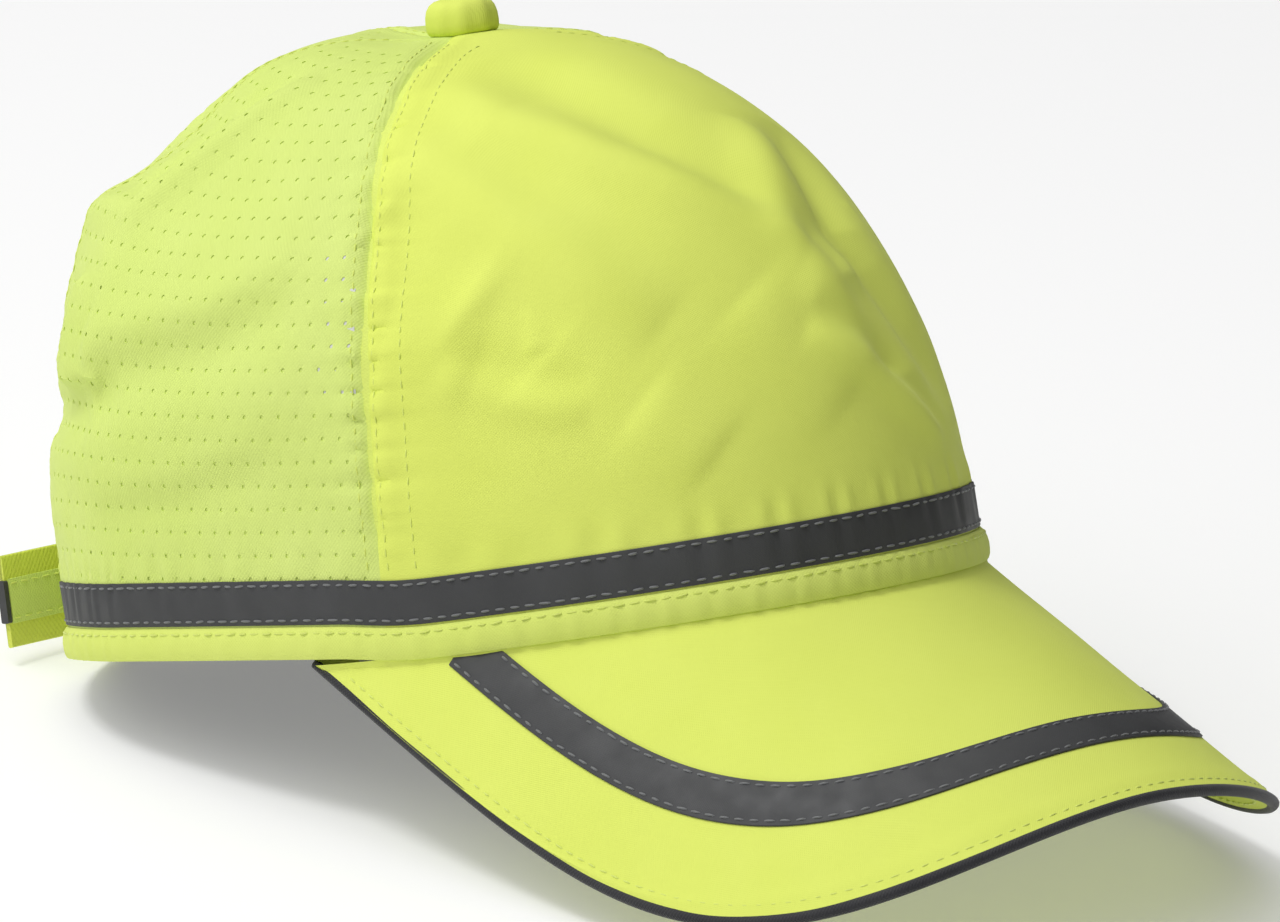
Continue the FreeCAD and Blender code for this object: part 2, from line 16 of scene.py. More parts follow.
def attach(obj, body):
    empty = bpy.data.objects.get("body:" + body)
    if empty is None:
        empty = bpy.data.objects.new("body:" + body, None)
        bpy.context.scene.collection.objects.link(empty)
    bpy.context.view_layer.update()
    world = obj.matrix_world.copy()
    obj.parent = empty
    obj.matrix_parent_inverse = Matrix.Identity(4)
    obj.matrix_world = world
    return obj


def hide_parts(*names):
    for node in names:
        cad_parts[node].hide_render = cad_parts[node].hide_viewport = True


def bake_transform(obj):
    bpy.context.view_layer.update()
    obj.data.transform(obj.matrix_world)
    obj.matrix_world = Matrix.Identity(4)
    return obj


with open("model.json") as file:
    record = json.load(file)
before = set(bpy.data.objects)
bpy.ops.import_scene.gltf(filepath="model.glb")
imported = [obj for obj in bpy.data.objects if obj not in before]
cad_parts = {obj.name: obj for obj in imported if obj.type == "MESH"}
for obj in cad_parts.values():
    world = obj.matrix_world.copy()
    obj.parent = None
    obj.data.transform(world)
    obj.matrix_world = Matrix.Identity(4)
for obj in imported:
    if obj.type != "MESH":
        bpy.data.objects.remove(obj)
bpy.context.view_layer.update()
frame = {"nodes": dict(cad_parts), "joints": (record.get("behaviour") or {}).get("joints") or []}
scene = bpy.context.scene
rng = np.random.default_rng(7)

# ---------------------------------------------------------------- head frame to row frame
HINGE_HEAD = np.array((-10.7, 0.0, 9.5))
hinge = next(joint for joint in frame["joints"] if joint["name"] == "strap_adjust")
TIP = math.atan2(-hinge["axis"][0], hinge["axis"][2])
TURN_HEAD = np.array(((math.cos(TIP), 0.0, -math.sin(TIP)),
                      (0.0, 1.0, 0.0),
                      (math.sin(TIP), 0.0, math.cos(TIP))))
SHIFT = np.array(hinge["pos_m"]) * 1000.0 - TURN_HEAD @ HINGE_HEAD


def to_row(points):
    """Head frame millimetres to row frame metres."""
    return (np.asarray(points) @ TURN_HEAD.T + SHIFT) * 0.001


# ---------------------------------------------------------------- the crown's surface
PITCH = math.radians(32.7)            # the brim's slope below the rim's level
BEND = 83.1                           # radius of the brim's curve from side to side
HEIGHT = 124.0
BUTTON_X = -8.1
RIM_X, RIM_HALF_WIDTH = -38.6, 82.3   # middle and half width of the rim's oval
RIM_FRONT, RIM_BACK = 138.6, 61.4     # its reach forward and back from that middle
BRIM_X, BRIM_Z = 100.0, 10.0          # where the brim's middle meets the rim
ARCH_HALF_WIDTH, ARCH_SPRING = 36.0, 16.0
LEG_TURN = 180.0 - math.degrees(math.asin(ARCH_HALF_WIDTH / RIM_HALF_WIDTH)) - 1.0


def smooth(low, high, value):
    share = np.clip((value - low) / (high - low), 0.0, 1.0)
    return share * share * (3.0 - 2.0 * share)


def bell(offset, width):
    return np.exp(-(offset / width) ** 2)


def wrap(turn):
    return (np.asarray(turn, float) + 180.0) % 360.0 - 180.0


def brim_height(x, y):
    drop = BEND - np.sqrt(np.maximum(BEND * BEND - y * y, 0.0))
    return BRIM_Z - (x - BRIM_X) * math.tan(PITCH) - drop / math.cos(PITCH)


def skin_at(turn, swing):
    """A point of the crown from a turn and a share of the meridian's height."""
    turn = wrap(turn)
    angle = np.radians(turn)
    forward = np.cos(angle)
    rim_x = RIM_X + np.where(forward > 0, RIM_FRONT, RIM_BACK) * forward
    rim_y = -RIM_HALF_WIDTH * np.sin(angle)
    behind = rim_x + 40.0
    ear = 9.0 - np.where(behind > 0.0, 1.8 * (behind / 75.0) ** 2, 5.0 * (np.abs(behind) / 54.0) ** 3)
    front = smooth(20.0, 44.0, rim_x)
    start = 0.3 + (1.0 - front) * ear + front * brim_height(rim_x, rim_y)
    back = smooth(35.0, 125.0, np.abs(turn))
    rise_power = 2.45 + 3.05 * back
    draw_power = 2.2 - 0.6 * back
    top = HEIGHT * (1.0 - 0.05 ** draw_power) ** (1.0 / rise_power)
    z = start + (top - start) * swing
    share = (1.0 - (np.maximum(z, 0.0) / HEIGHT) ** rise_power) ** (1.0 / draw_power)
    loose = (1.2 - 2.7 * forward) * 4.0 * share * (1.0 - share)
    loose += back * (2.4 * bell(share - 0.38, 0.20) - 3.2 * bell(share - 0.74, 0.13))
    z = z + loose * smooth(0.05, 0.25, share)
    return np.stack((BUTTON_X + share * (rim_x - BUTTON_X), share * rim_y, z), -1)


STEPS = 240
TURNS = np.arange(-181, 182)
SWINGS = np.sin(0.5 * math.pi * np.linspace(0.0, 1.0, STEPS + 1))
fan = skin_at(TURNS[:, None], SWINGS[None])
fan_length = np.concatenate((np.zeros((len(TURNS), 1)),
                             np.cumsum(np.linalg.norm(np.diff(fan, axis=1), axis=2), axis=1)), axis=1)
LENGTH = fan_length[:, -1]
SWING_TABLE = np.array([np.interp(np.linspace(0.0, 1.0, STEPS + 1), line / line[-1], SWINGS)
                        for line in fan_length])


def length(turn):
    return np.interp(wrap(turn), TURNS, LENGTH)


def skin(turn, rise):
    turn, rise = np.broadcast_arrays(np.asarray(turn, float), np.asarray(rise, float))
    turn = wrap(turn)
    column = np.clip(np.floor(turn + 181.0).astype(int), 0, len(TURNS) - 2)
    side = turn + 181.0 - column
    place = np.clip(rise / length(turn), 0.0, 1.0) * STEPS
    row = np.minimum(place.astype(int), STEPS - 1)
    up = place - row
    swing = ((1 - side) * ((1 - up) * SWING_TABLE[column, row] + up * SWING_TABLE[column, row + 1])
             + side * ((1 - up) * SWING_TABLE[column + 1, row] + up * SWING_TABLE[column + 1, row + 1]))
    return skin_at(turn, swing)


def outward(turn, rise):
    reach = np.clip(rise, 1.0, length(turn) - 1.0)
    across = skin(np.asarray(turn) - 1.5, reach) - skin(np.asarray(turn) + 1.5, reach)
    along = skin(turn, reach + 1.0) - skin(turn, reach - 1.0)
    normal = np.cross(across, along)
    return normal / np.linalg.norm(normal, axis=-1, keepdims=True)


def degree_arc(points):
    """Millimetres round the crown for one degree of turn, at each of these points."""
    return np.hypot(points[..., 0] - BUTTON_X, points[..., 1]) * math.pi / 180.0


def spot(turn, z):
    """The point of the crown at a turn and a height."""
    line = skin_at(np.full(STEPS + 1, float(turn)), SWINGS)
    rising = np.maximum.accumulate(line[:, 2])
    return np.array([np.interp(z, rising, line[:, axis]) for axis in range(3)])


# Creases of the worn cloth: height, width, skew (+1 or -1 puts a hollow beside the
# ridge), and the (turn, height) places that the ridge runs through.
CREASES = (
    (3.0, 7.0, 0, ((52, 116), (40, 107), (25, 99), (15.5, 92.5), (6, 85), (-2, 76))),
    (-3.0, 8.0, 0, ((40, 119), (23, 112), (14, 103), (4, 92), (-4, 82), (-10, 72))),
    (2.6, 8.0, 0, ((59, 109), (52, 101), (41.5, 89), (33, 77), (25, 66))),
    (-1.6, 9.0, 0, ((59, 92), (53, 84), (47, 77))),
    (2.8, 6.0, 0, ((-14, 102), (-6, 92), (-1, 80), (-2, 68), (-8, 50))),
    (-3.8, 7.0, 0, ((-27, 100), (-21, 90), (-16, 80), (-18, 70), (-22, 57), (-28, 40))),
    (2.2, 4.5, 1, ((5, 62), (-2.5, 54), (-10, 45), (-19, 34))),
    (1.3, 10.0, 0, ((12, 70), (6, 58), (0, 48))),
    (1.2, 9.0, 0, ((58, 68), (48, 62))),
    (-1.3, 8.0, 0, ((-10, 70), (-12, 50))),
    (1.1, 9.0, 0, ((30, 52), (22, 40))),
    (1.2, 4.0, 1, ((52, 62), (45, 55), (36, 51))),
    (-1.0, 9.0, 0, ((47, 74), (40, 62))),
    (2.2, 4.5, -1, ((81.6, 119.5), (84.9, 116), (87.9, 110.5), (92.1, 104), (99.9, 98.2), (122.2, 94.8))),
    (1.7, 6.0, 1, ((68, 86), (78, 78), (90, 74), (100, 66))),
    (-1.3, 9.0, 0, ((72, 104), (84, 96), (98, 88))),
    (1.2, 8.0, 0, ((66, 60), (80, 56), (96, 50))),
    (-3.0, 6.0, 0, ((88, 64), (98, 60), (112, 58.5), (128, 58.5), (144, 60))),
    (-2.8, 17.0, 0, ((95, 74), (112, 75), (128, 74), (145, 74))),
    (2.4, 6.0, 0, ((104, 100), (122, 97.5), (140, 98))),
    (-2.8, 10.0, 0, ((95, 114), (120, 112), (140, 112))),
    (0.9, 8.0, 0, ((104, 36), (120, 36))),
    (0.8, 4.5, 1, ((70, 52), (82, 46), (96, 44))),
    (1.0, 4.0, -1, ((-84, 112), (-96, 98), (-118, 92))),
    (-1.8, 6.0, 0, ((-92, 66), (-104, 58), (-122, 60))),
    (0.9, 5.0, 1, ((-68, 82), (-84, 72), (-100, 66))),
    (0.9, 5.0, 1, ((150, 98), (160, 84), (168, 66))),
    (0.9, 5.0, -1, ((-150, 96), (-162, 82), (-170, 68))),
)
SEAMS = (60.0, -60.0, 120.0, -120.0, 180.0)
TAB_TURNS, TAB_RISE = (100.0, 34.0), 67.0      # the loop tabs hold the cloth out here
DEEPEST_HOLLOW, HIGHEST_RIDGE = -3.8, 3.0


def arch_gap(points):
    """How far a point lies outside the rear arch, seen from behind."""
    y, z = points[..., 1], points[..., 2]
    above = np.hypot(y, z - ARCH_SPRING) - ARCH_HALF_WIDTH
    gap = np.where(z > ARCH_SPRING, above, np.abs(y) - ARCH_HALF_WIDTH)
    return np.where(points[..., 0] < -30.0, gap, 99.0)


def creases(points, normal):
    total = np.zeros(points.shape[:-1])
    for height, width, skew, route in CREASES:
        posts = np.array([spot(turn, z) for turn, z in route])
        near = np.full(total.shape, 1e9)
        value = np.zeros(total.shape)
        for step, (start, end) in enumerate(zip(posts[:-1], posts[1:])):
            line = end - start
            offset = points - start
            share = np.clip(offset @ line / (line @ line), 0.0, 1.0)
            away = offset - share[..., None] * line
            distance = np.linalg.norm(away, axis=-1)
            side = np.sign(np.einsum("...i,...i->...", np.cross(line, away), normal))
            along = (step + share) / (len(posts) - 1)
            fade = 1.0 - np.abs(2.0 * along - 1.0) ** 4
            shape = np.exp(-(distance / width) ** 2)
            if skew:
                hollow = (distance * side * skew - 1.4 * width) / width
                shape = shape - 0.7 * np.exp(-hollow * hollow)
            closer = distance < near
            near = np.where(closer, distance, near)
            value = np.where(closer, height * shape * fade, value)
        total += value
    return total


def relief(points, turn, rise, normal):
    """How far the worn cloth stands off the smooth crown."""
    x, y, z = points[..., 0], points[..., 1], points[..., 2]
    arc = degree_arc(points)
    cloth = creases(points, normal)
    cloth += 0.30 * np.sin(x / 11.0 + 0.7) * np.sin(z / 10.0 + y / 15.0)
    cloth += 0.07 * np.sin(x / 4.3 + z / 6.1 + 1.9) * np.sin(y / 5.2 - z / 4.4)
    for seam in SEAMS:
        away = wrap(turn - seam) * arc
        cloth -= 1.3 * bell(away, 0.55)
        cloth += 0.30 * bell(np.abs(away) - 2.7, 1.3)
        front = 1.0 if abs(seam) < 90 else 0.5
        beat = np.sin(z * 0.63 + seam) + 0.7 * np.sin(z * 1.17 + 2.0 + seam)
        pucker = (1.0 - np.abs(np.sin(z * 0.47 + 0.9 * np.sin(z * 0.11)))) ** 5
        beside_seam = np.exp(-np.abs(np.abs(away) - 1.2) / 2.8) * smooth(0.0, 1.0, np.abs(away))
        cloth += 0.9 * front * (0.32 * beat - pucker) * beside_seam
    ripple = np.sin(turn * arc / 1.25) + 0.6 * np.sin(turn * arc / 0.83 + 1.0)
    cloth = cloth * smooth(15.0, 30.0, rise) * smooth(0.0, 9.0, length(turn) - rise)
    cloth += 0.28 * ripple * bell(rise - 17.5, 3.5)
    cloth = cloth * smooth(0.0, 8.0, arch_gap(points))
    off_tab = np.minimum(*(np.abs(np.abs(turn) - place) for place in TAB_TURNS))
    tab = smooth(11.0, 7.0, off_tab) * smooth(13.0, 10.0, np.abs(rise - TAB_RISE))
    return np.clip(cloth, DEEPEST_HOLLOW + 3.6 * tab, HIGHEST_RIDGE)


def crown(turn, rise, out=0.0):
    """Points and normals of the worn crown, out being above its outer face."""
    turn, rise = np.broadcast_arrays(np.asarray(turn, float), np.asarray(rise, float))
    points = skin(turn, rise)
    normal = outward(turn, rise)
    return points + normal * (out + relief(points, turn, rise, normal))[..., None], normal


# ---------------------------------------------------------------- meshes
def mesh(name, points, faces, material, body="crown", cloth=None, sharp=40.0):
    data = bpy.data.meshes.new(name)
    data.from_pydata(to_row(points).tolist(), [], faces)
    work = bmesh.new()
    work.from_mesh(data)
    bmesh.ops.recalc_face_normals(work, faces=work.faces)
    work.to_mesh(data)
    work.free()
    data.shade_smooth()
    data.set_sharp_from_angle(angle=math.radians(sharp))
    if cloth is not None:
        layer = data.uv_layers.new(name="cloth")
        corners = np.zeros(len(data.loops), int)
        data.loops.foreach_get("vertex_index", corners)
        layer.data.foreach_set("uv", (np.asarray(cloth)[corners] * 0.01).ravel())
    piece = bpy.data.objects.new(name, data)
    scene.collection.objects.link(piece)
    data.materials.append(material)
    if body:
        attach(piece, body)
    return piece


def grid_faces(columns, rows, ring=False):
    """Quads of a grid of columns x rows points; ring joins the last row to the first."""
    index = np.arange(columns * rows).reshape(columns, rows)
    if ring:
        index = np.concatenate((index, index[:, :1]), axis=1)
    quads = np.stack((index[:-1, :-1], index[1:, :-1], index[1:, 1:], index[:-1, 1:]), -1)
    return quads.reshape(-1, 4).tolist()


def thicken(points, normals, faces, depth):
    """Closes an open sheet by adding its underside and the walls along its edges."""
    count = len(points)
    depth = np.broadcast_to(depth, (count,))
    whole = np.concatenate((points, points - normals * depth[:, None]))
    seen = {}
    for face in faces:
        for start, end in zip(face, face[1:] + face[:1]):
            if (end, start) in seen:
                del seen[(end, start)]
            else:
                seen[(start, end)] = True
    solid = list(faces)
    solid += [[corner + count for corner in reversed(face)] for face in faces]
    solid += [[end, start, start + count, end + count] for start, end in seen]
    return whole, solid


def sheet(name, points, normals, faces, depth, material, cloth):
    cloth = cloth.reshape(-1, 2)
    whole, solid = thicken(points.reshape(-1, 3), normals.reshape(-1, 3), faces, depth)
    return mesh(name, whole, solid, material, cloth=np.concatenate((cloth, cloth)))


def stands_for(node):
    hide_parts(node)


def sweep(name, path, section, where, material, body="crown", ring=False, sharp=50.0):
    """A closed section (a, b) carried along a path; where(path, a, b) gives its points."""
    path = np.asarray(path, float)
    section = np.asarray(section, float)
    points = where(path[:, None], section[None, :, 0], section[None, :, 1])
    columns, rows = points.shape[:2]
    faces = grid_faces(columns, rows, ring=True)
    if ring:
        last = (columns - 1) * rows
        faces += [[last + k, k, (k + 1) % rows, last + (k + 1) % rows] for k in range(rows)]
    else:
        faces += [list(range(rows)), [(columns - 1) * rows + k for k in reversed(range(rows))]]
    flat = points.reshape(-1, 3)
    cloth = np.meshgrid(run_along(points[:, 0]), run_along(section), indexing="ij")
    return mesh(name, flat, faces, material, body, np.stack(cloth, -1).reshape(-1, 2), sharp)


def rounded(low, high, under, over, corner, steps=4):
    """A rounded box section from low to high and from under to over."""
    points = []
    centres = ((high - corner, over - corner, 0.0), (low + corner, over - corner, 90.0),
               (low + corner, under + corner, 180.0), (high - corner, under + corner, 270.0))
    for centre_a, centre_b, first in centres:
        for step in range(steps + 1):
            angle = math.radians(first + 90.0 * step / steps)
            points.append((centre_a + corner * math.cos(angle), centre_b + corner * math.sin(angle)))
    return points


def run_along(route):
    """The distance along a route to each of its points."""
    return np.concatenate(([0.0], np.cumsum(np.linalg.norm(np.diff(route, axis=0), axis=1))))


def stitches(name, route, normals, material, body="crown", pitch=3.0, long=2.1, wide=0.42, high=0.26):
    """A row of sewn stitches lying on a route."""
    run = run_along(route)
    count = max(2, int(run[-1] / pitch))
    marks = (np.arange(count) + 0.5) * run[-1] / count
    rings = ((-1.0, 0.0), (-0.82, 0.7), (-0.3, 1.0), (0.3, 1.0), (0.82, 0.7), (1.0, 0.0))
    points, faces = [], []

    def at(values, place):
        return np.stack([np.interp(place, run, values[:, axis]) for axis in range(3)], -1)

    half = 0.5 * long * (1.0 + 0.10 * rng.standard_normal(len(marks)))
    ahead, behind = at(route, marks + half), at(route, marks - half)
    middle = 0.5 * (ahead + behind)
    along = ahead - behind
    along /= np.linalg.norm(along, axis=1, keepdims=True)
    up = at(normals, marks)
    up /= np.linalg.norm(up, axis=1, keepdims=True)
    across = np.cross(up, along)
    turn = 0.05 * rng.standard_normal(len(marks))
    along, across = (along * np.cos(turn)[:, None] + across * np.sin(turn)[:, None],
                     across * np.cos(turn)[:, None] - along * np.sin(turn)[:, None])
    sides = 6
    for reach, girth in rings:
        angles = np.arange(sides if girth else 1) * 2.0 * math.pi / sides
        for angle in angles:
            lift = high * (girth * math.sin(angle) + 0.25 - 0.55 * reach * reach)
            points.append(middle + along * (reach * half)[:, None]
                          + across * (0.5 * wide * girth * math.cos(angle)) + up * lift)
    block = len(points)
    shape = [[0, 1 + k, 1 + (k + 1) % sides] for k in range(sides)]
    for ring in range(3):
        base = 1 + ring * sides
        shape += [[base + k, base + sides + k, base + sides + (k + 1) % sides, base + (k + 1) % sides]
                  for k in range(sides)]
    last = 1 + 3 * sides
    shape += [[last + (k + 1) % sides, last + k, block - 1] for k in range(sides)]
    cloud = np.stack(points, 1).reshape(-1, 3)
    for number in range(len(marks)):
        faces += [[corner + number * block for corner in face] for face in shape]
    return mesh(name, cloud, faces, material, body, sharp=80.0)


# ---------------------------------------------------------------- materials
class Paint:
    """A node material on one Principled shader."""

    def __init__(self, name, **values):
        self.material = bpy.data.materials.new(name)
        self.material.use_nodes = True
        self.tree = self.material.node_tree
        self.shader = self.tree.nodes["Principled BSDF"]
        for socket, value in values.items():
            self.shader.inputs[socket.replace("_", " ")].default_value = value

    def node(self, kind, inputs=None, **settings):
        made = self.tree.nodes.new(kind)
        for key, value in settings.items():
            setattr(made, key, value)
        for key, value in (inputs or {}).items():
            if isinstance(value, bpy.types.NodeSocket):
                self.tree.links.new(value, made.inputs[key])
            else:
                made.inputs[key].default_value = value
        return made

    def maths(self, operation, first, second=0.0):
        return self.node("ShaderNodeMath", {0: first, 1: second}, operation=operation).outputs[0]

    def noise(self, scale, detail=3.0, roughness=0.5):
        place = self.node("ShaderNodeTexCoord").outputs["Object"]
        made = self.node("ShaderNodeTexNoise", {"Vector": place, "Scale": scale, "Detail": detail,
                                                "Roughness": roughness})
        return made.outputs["Fac"]

    def cloth(self):
        """The cloth's own two directions, in millimetres."""
        place = self.node("ShaderNodeUVMap", uv_map="cloth").outputs[0]
        parts = self.node("ShaderNodeSeparateXYZ", {0: place})
        return [self.maths("MULTIPLY", parts.outputs[axis], 100.0) for axis in (0, 1)]

    def weave(self, pitch_u, pitch_v):
        u, v = self.cloth()
        first = self.maths("SINE", self.maths("MULTIPLY", u, 2.0 * math.pi / pitch_u))
        second = self.maths("SINE", self.maths("MULTIPLY", v, 2.0 * math.pi / pitch_v))
        return self.maths("MULTIPLY_ADD", self.maths("MULTIPLY", first, second), 0.5)

    def ramp(self, value, low, high, first, second):
        made = self.node("ShaderNodeMapRange", {"Value": value, "From Min": low, "From Max": high,
                                                "To Min": first, "To Max": second})
        return made.outputs[0]

    def mix(self, share, first, second):
        made = self.node("ShaderNodeMix", data_type="RGBA")
        self.tree.links.new(share, made.inputs[0])
        for socket, value in ((6, first), (7, second)):
            if isinstance(value, bpy.types.NodeSocket):
                self.tree.links.new(value, made.inputs[socket])
            else:
                made.inputs[socket].default_value = (*value, 1.0)
        return made.outputs[2]

    def cells(self, scale):
        place = self.node("ShaderNodeTexCoord").outputs["Object"]
        return self.node("ShaderNodeTexVoronoi", {"Vector": place, "Scale": scale}).outputs["Distance"]

    def bump(self, layers):
        """Bumps laid over each other: (kind, its values, strength, depth in millimetres)."""
        normal = None
        for kind, values, strength, depth in layers:
            height = getattr(self, kind)(*values)
            inputs = {"Height": height, "Strength": strength, "Distance": depth * 0.001}
            if normal is not None:
                inputs["Normal"] = normal
            normal = self.node("ShaderNodeBump", inputs).outputs[0]
            self.tree.links.new(normal, self.shader.inputs["Normal"])


def painted(name, light, dark, patches, spread=(0.3, 0.7), rough=None, bumps=(), **values):
    """A finish that drifts between two colours with a noise; rough is (noise, least, most)."""
    paint = Paint(name, **values)
    share = paint.noise(*patches)
    if spread:
        share = paint.ramp(share, *spread, 0.0, 1.0)
    paint.tree.links.new(paint.mix(share, light, dark), paint.shader.inputs["Base Color"])
    if rough:
        grain, least, most = rough
        worn = paint.ramp(paint.noise(*grain), 0.3, 0.7, least, most)
        paint.tree.links.new(worn, paint.shader.inputs["Roughness"])
    paint.bump(bumps)
    return paint.material


def fabric(name, light, dark, pitch, depth=0.06, rough=0.75, sheen=0.04):
    """A woven cloth whose colour drifts a little from place to place."""
    bumps = (("weave", pitch, 0.6, depth), ("noise", (420.0, 3.0, 0.6), 0.35, 0.10),
             ("noise", (60.0, 3.0, 0.5), 0.25, 0.5))
    return painted(name, light, dark, (22.0, 4.0, 0.55), rough=((90.0, 2.0), rough - 0.07, rough + 0.07),
                   bumps=bumps, Sheen_Weight=sheen, Sheen_Roughness=0.45, Specular_IOR_Level=0.15)


def thread(name, colour):
    return painted(name, colour, tuple(0.86 * part for part in colour), (500.0, 2.0), None,
                   bumps=(("noise", (1500.0, 2.0), 0.5, 0.05),),
                   Roughness=0.5, Sheen_Weight=0.2, Specular_IOR_Level=0.4)


woven = fabric("woven_lime_cloth", (0.755, 0.845, 0.165), (0.715, 0.810, 0.145), (0.55, 0.55))
netting = fabric("mesh_lime_knit", (0.690, 0.810, 0.235), (0.645, 0.775, 0.195), (0.8, 1.0), 0.12, 0.7)
netting_back = fabric("mesh_backing_knit", (0.740, 0.840, 0.270), (0.700, 0.800, 0.235), (0.8, 0.8),
                      0.1, 0.8, 0.1)
allowance = fabric("seam_allowance_cloth", (0.720, 0.720, 0.700), (0.640, 0.640, 0.640), (0.6, 0.6),
                   0.06, 0.8, 0.1)
hemming = fabric("hem_lime_cloth", (0.720, 0.815, 0.190), (0.680, 0.785, 0.165), (0.7, 0.7), 0.08)
buckram = fabric("white_buckram", (0.74, 0.74, 0.70), (0.66, 0.66, 0.62), (1.0, 1.0), 0.15, 0.85, 0.1)
lime_thread = thread("lime_thread", (0.73, 0.83, 0.17))
pale_thread = thread("pale_grey_thread", (0.17, 0.175, 0.18))
dark_thread = thread("dark_thread", (0.06, 0.06, 0.065))

webbing = painted(
    "strap_lime_webbing", (0.690, 0.760, 0.115), (0.640, 0.715, 0.095), (30.0,),
    rough=((120.0, 2.0), 0.6, 0.75), Sheen_Weight=0.05, Sheen_Roughness=0.5, Specular_IOR_Level=0.3,
    bumps=(("weave", (1.2, 1.6), 0.7, 0.16), ("noise", (400.0,), 0.3, 0.08)))
tape = painted(
    "grey_reflective_tape", (0.064, 0.065, 0.067), (0.050, 0.051, 0.053), (26.0, 4.0, 0.6),
    rough=((160.0, 2.0), 0.52, 0.68),
    bumps=(("noise", (2600.0, 2.0, 0.6), 0.5, 0.05), ("weave", (0.5, 0.5), 0.25, 0.04),
           ("noise", (70.0, 3.0), 0.25, 0.4)),
    Metallic=0.2, Sheen_Weight=0.05, Sheen_Roughness=0.3, Specular_IOR_Level=0.4)
edging = painted(
    "charcoal_edge_cloth", (0.036, 0.036, 0.040), (0.024, 0.024, 0.027), (60.0, 4.0),
    rough=((150.0,), 0.6, 0.75), Sheen_Weight=0.25, Sheen_Roughness=0.4, Specular_IOR_Level=0.3,
    bumps=(("weave", (0.7, 0.9), 0.7, 0.14), ("noise", (500.0,), 0.3, 0.08)))
band_cloth = painted(
    "sweatband_terry", (0.085, 0.087, 0.095), (0.040, 0.041, 0.046), (300.0, 3.0), (0.35, 0.65),
    bumps=(("noise", (900.0, 2.0, 0.7), 0.9, 0.35), ("noise", (80.0,), 0.3, 0.8)),
    Roughness=0.9, Sheen_Weight=0.6, Sheen_Roughness=0.5)
foam_paint = painted(
    "closed_cell_foam", (0.105, 0.107, 0.115), (0.070, 0.071, 0.078), (120.0, 4.0),
    bumps=(("cells", (1100.0,), 0.6, 0.18), ("noise", (200.0,), 0.3, 0.4)),
    Roughness=0.88, Sheen_Weight=0.2)
plastic = painted(
    "moulded_shell_plastic", (0.035, 0.038, 0.043), (0.026, 0.028, 0.032), (14.0, 3.0),
    rough=((60.0, 3.0), 0.38, 0.55), bumps=(("noise", (1400.0, 2.0, 0.6), 0.4, 0.06),),
    Roughness=0.45, Specular_IOR_Level=0.5)
hooks = painted(
    "hook_and_loop", (0.05, 0.05, 0.055), (0.022, 0.022, 0.025), (700.0, 2.0), None,
    bumps=(("noise", (1700.0, 1.0, 0.8), 1.0, 0.4),),
    Roughness=0.8, Sheen_Weight=0.4, Sheen_Roughness=0.5)
board_paint = painted(
    "white_peak_board", (0.78, 0.78, 0.75), (0.72, 0.72, 0.69), (40.0,), None,
    bumps=(("noise", (500.0,), 0.3, 0.05),), Roughness=0.5)
steel = painted(
    "plated_rivet_steel", (0.62, 0.62, 0.63), (0.52, 0.52, 0.54), (200.0,), None,
    rough=((400.0,), 0.28, 0.42), Metallic=1.0)

for node, finish in (("insert_shell", plastic), ("insert_hook_tabs", hooks), ("crown_loop_tabs", hooks),
                     ("strap_loop_strip", hooks), ("strap_hook_strip", hooks),
                     ("button_rivet", steel), ("button_washer", steel)):
    materials = frame["nodes"][node].data.materials
    materials.clear()
    materials.append(finish)

# ---------------------------------------------------------------- front panel
beside = SEAMS[0] - np.array((0.0, 0.15, 0.3, 0.5, 0.75, 1.0, 1.4, 1.8, 2.2, 2.6, 3.0, 3.5, 4.0))
turns = np.concatenate((-beside, np.linspace(-55.2, 55.2, 147), beside[::-1]))
columns = len(turns)
rows = 190
shares = np.linspace(0.0, 1.0, rows)
turn_grid = np.repeat(turns[:, None], rows, axis=1)
rise_grid = length(turn_grid) * shares[None]
points, normals = crown(turn_grid, rise_grid)
cloth = np.stack((turn_grid * 1.43 * np.maximum(1.0 - shares[None] ** 3, 0.05), rise_grid), -1)
piece = sheet("front_panel_cloth", points, normals, grid_faces(columns, rows), 1.1, woven, cloth)
stands_for("front_panel")

# ---------------------------------------------------------------- mesh panels
HOLE_PITCH = 4
HOLE_CORNERS = ((-1, -1), (0, -1), (1, -1), (1, 0), (1, 1), (0, 1), (-1, 1), (-1, 0))
HOLE_MARGIN = 14                     # rows left whole at the rim and at the top
ROW_STEP = 1.2


def hole_places(inside, gaps, before):
    """The (column, row) grid places of a panel's holes, in staggered rows."""
    columns, rows = inside.shape
    for number, row in enumerate(range(HOLE_MARGIN, rows - HOLE_MARGIN, HOLE_PITCH)):
        start = before % HOLE_PITCH + (HOLE_PITCH // 2) * (number % 2)
        for column in range(start + 1, columns - 2, HOLE_PITCH):
            around = (slice(column - 1, column + 2), slice(row - 1, row + 2))
            if inside[around].min() >= 1.6 and gaps[around].min() >= 2.0:
                yield column, row


def hole_ring(values, centre, corners):
    """The points of a small ring, a little sunk, inside the eight corners round a hole."""
    ring = []
    for (du, dv), corner in zip(HOLE_CORNERS, corners):
        pull = 0.28 if du and dv else 0.38
        made = values[centre] + (values[corner] - values[centre]) * pull
        made[:3] -= values[centre, 3:6] * 0.12
        made[3:6] = values[centre, 3:6]
        ring.append(made)
    return ring


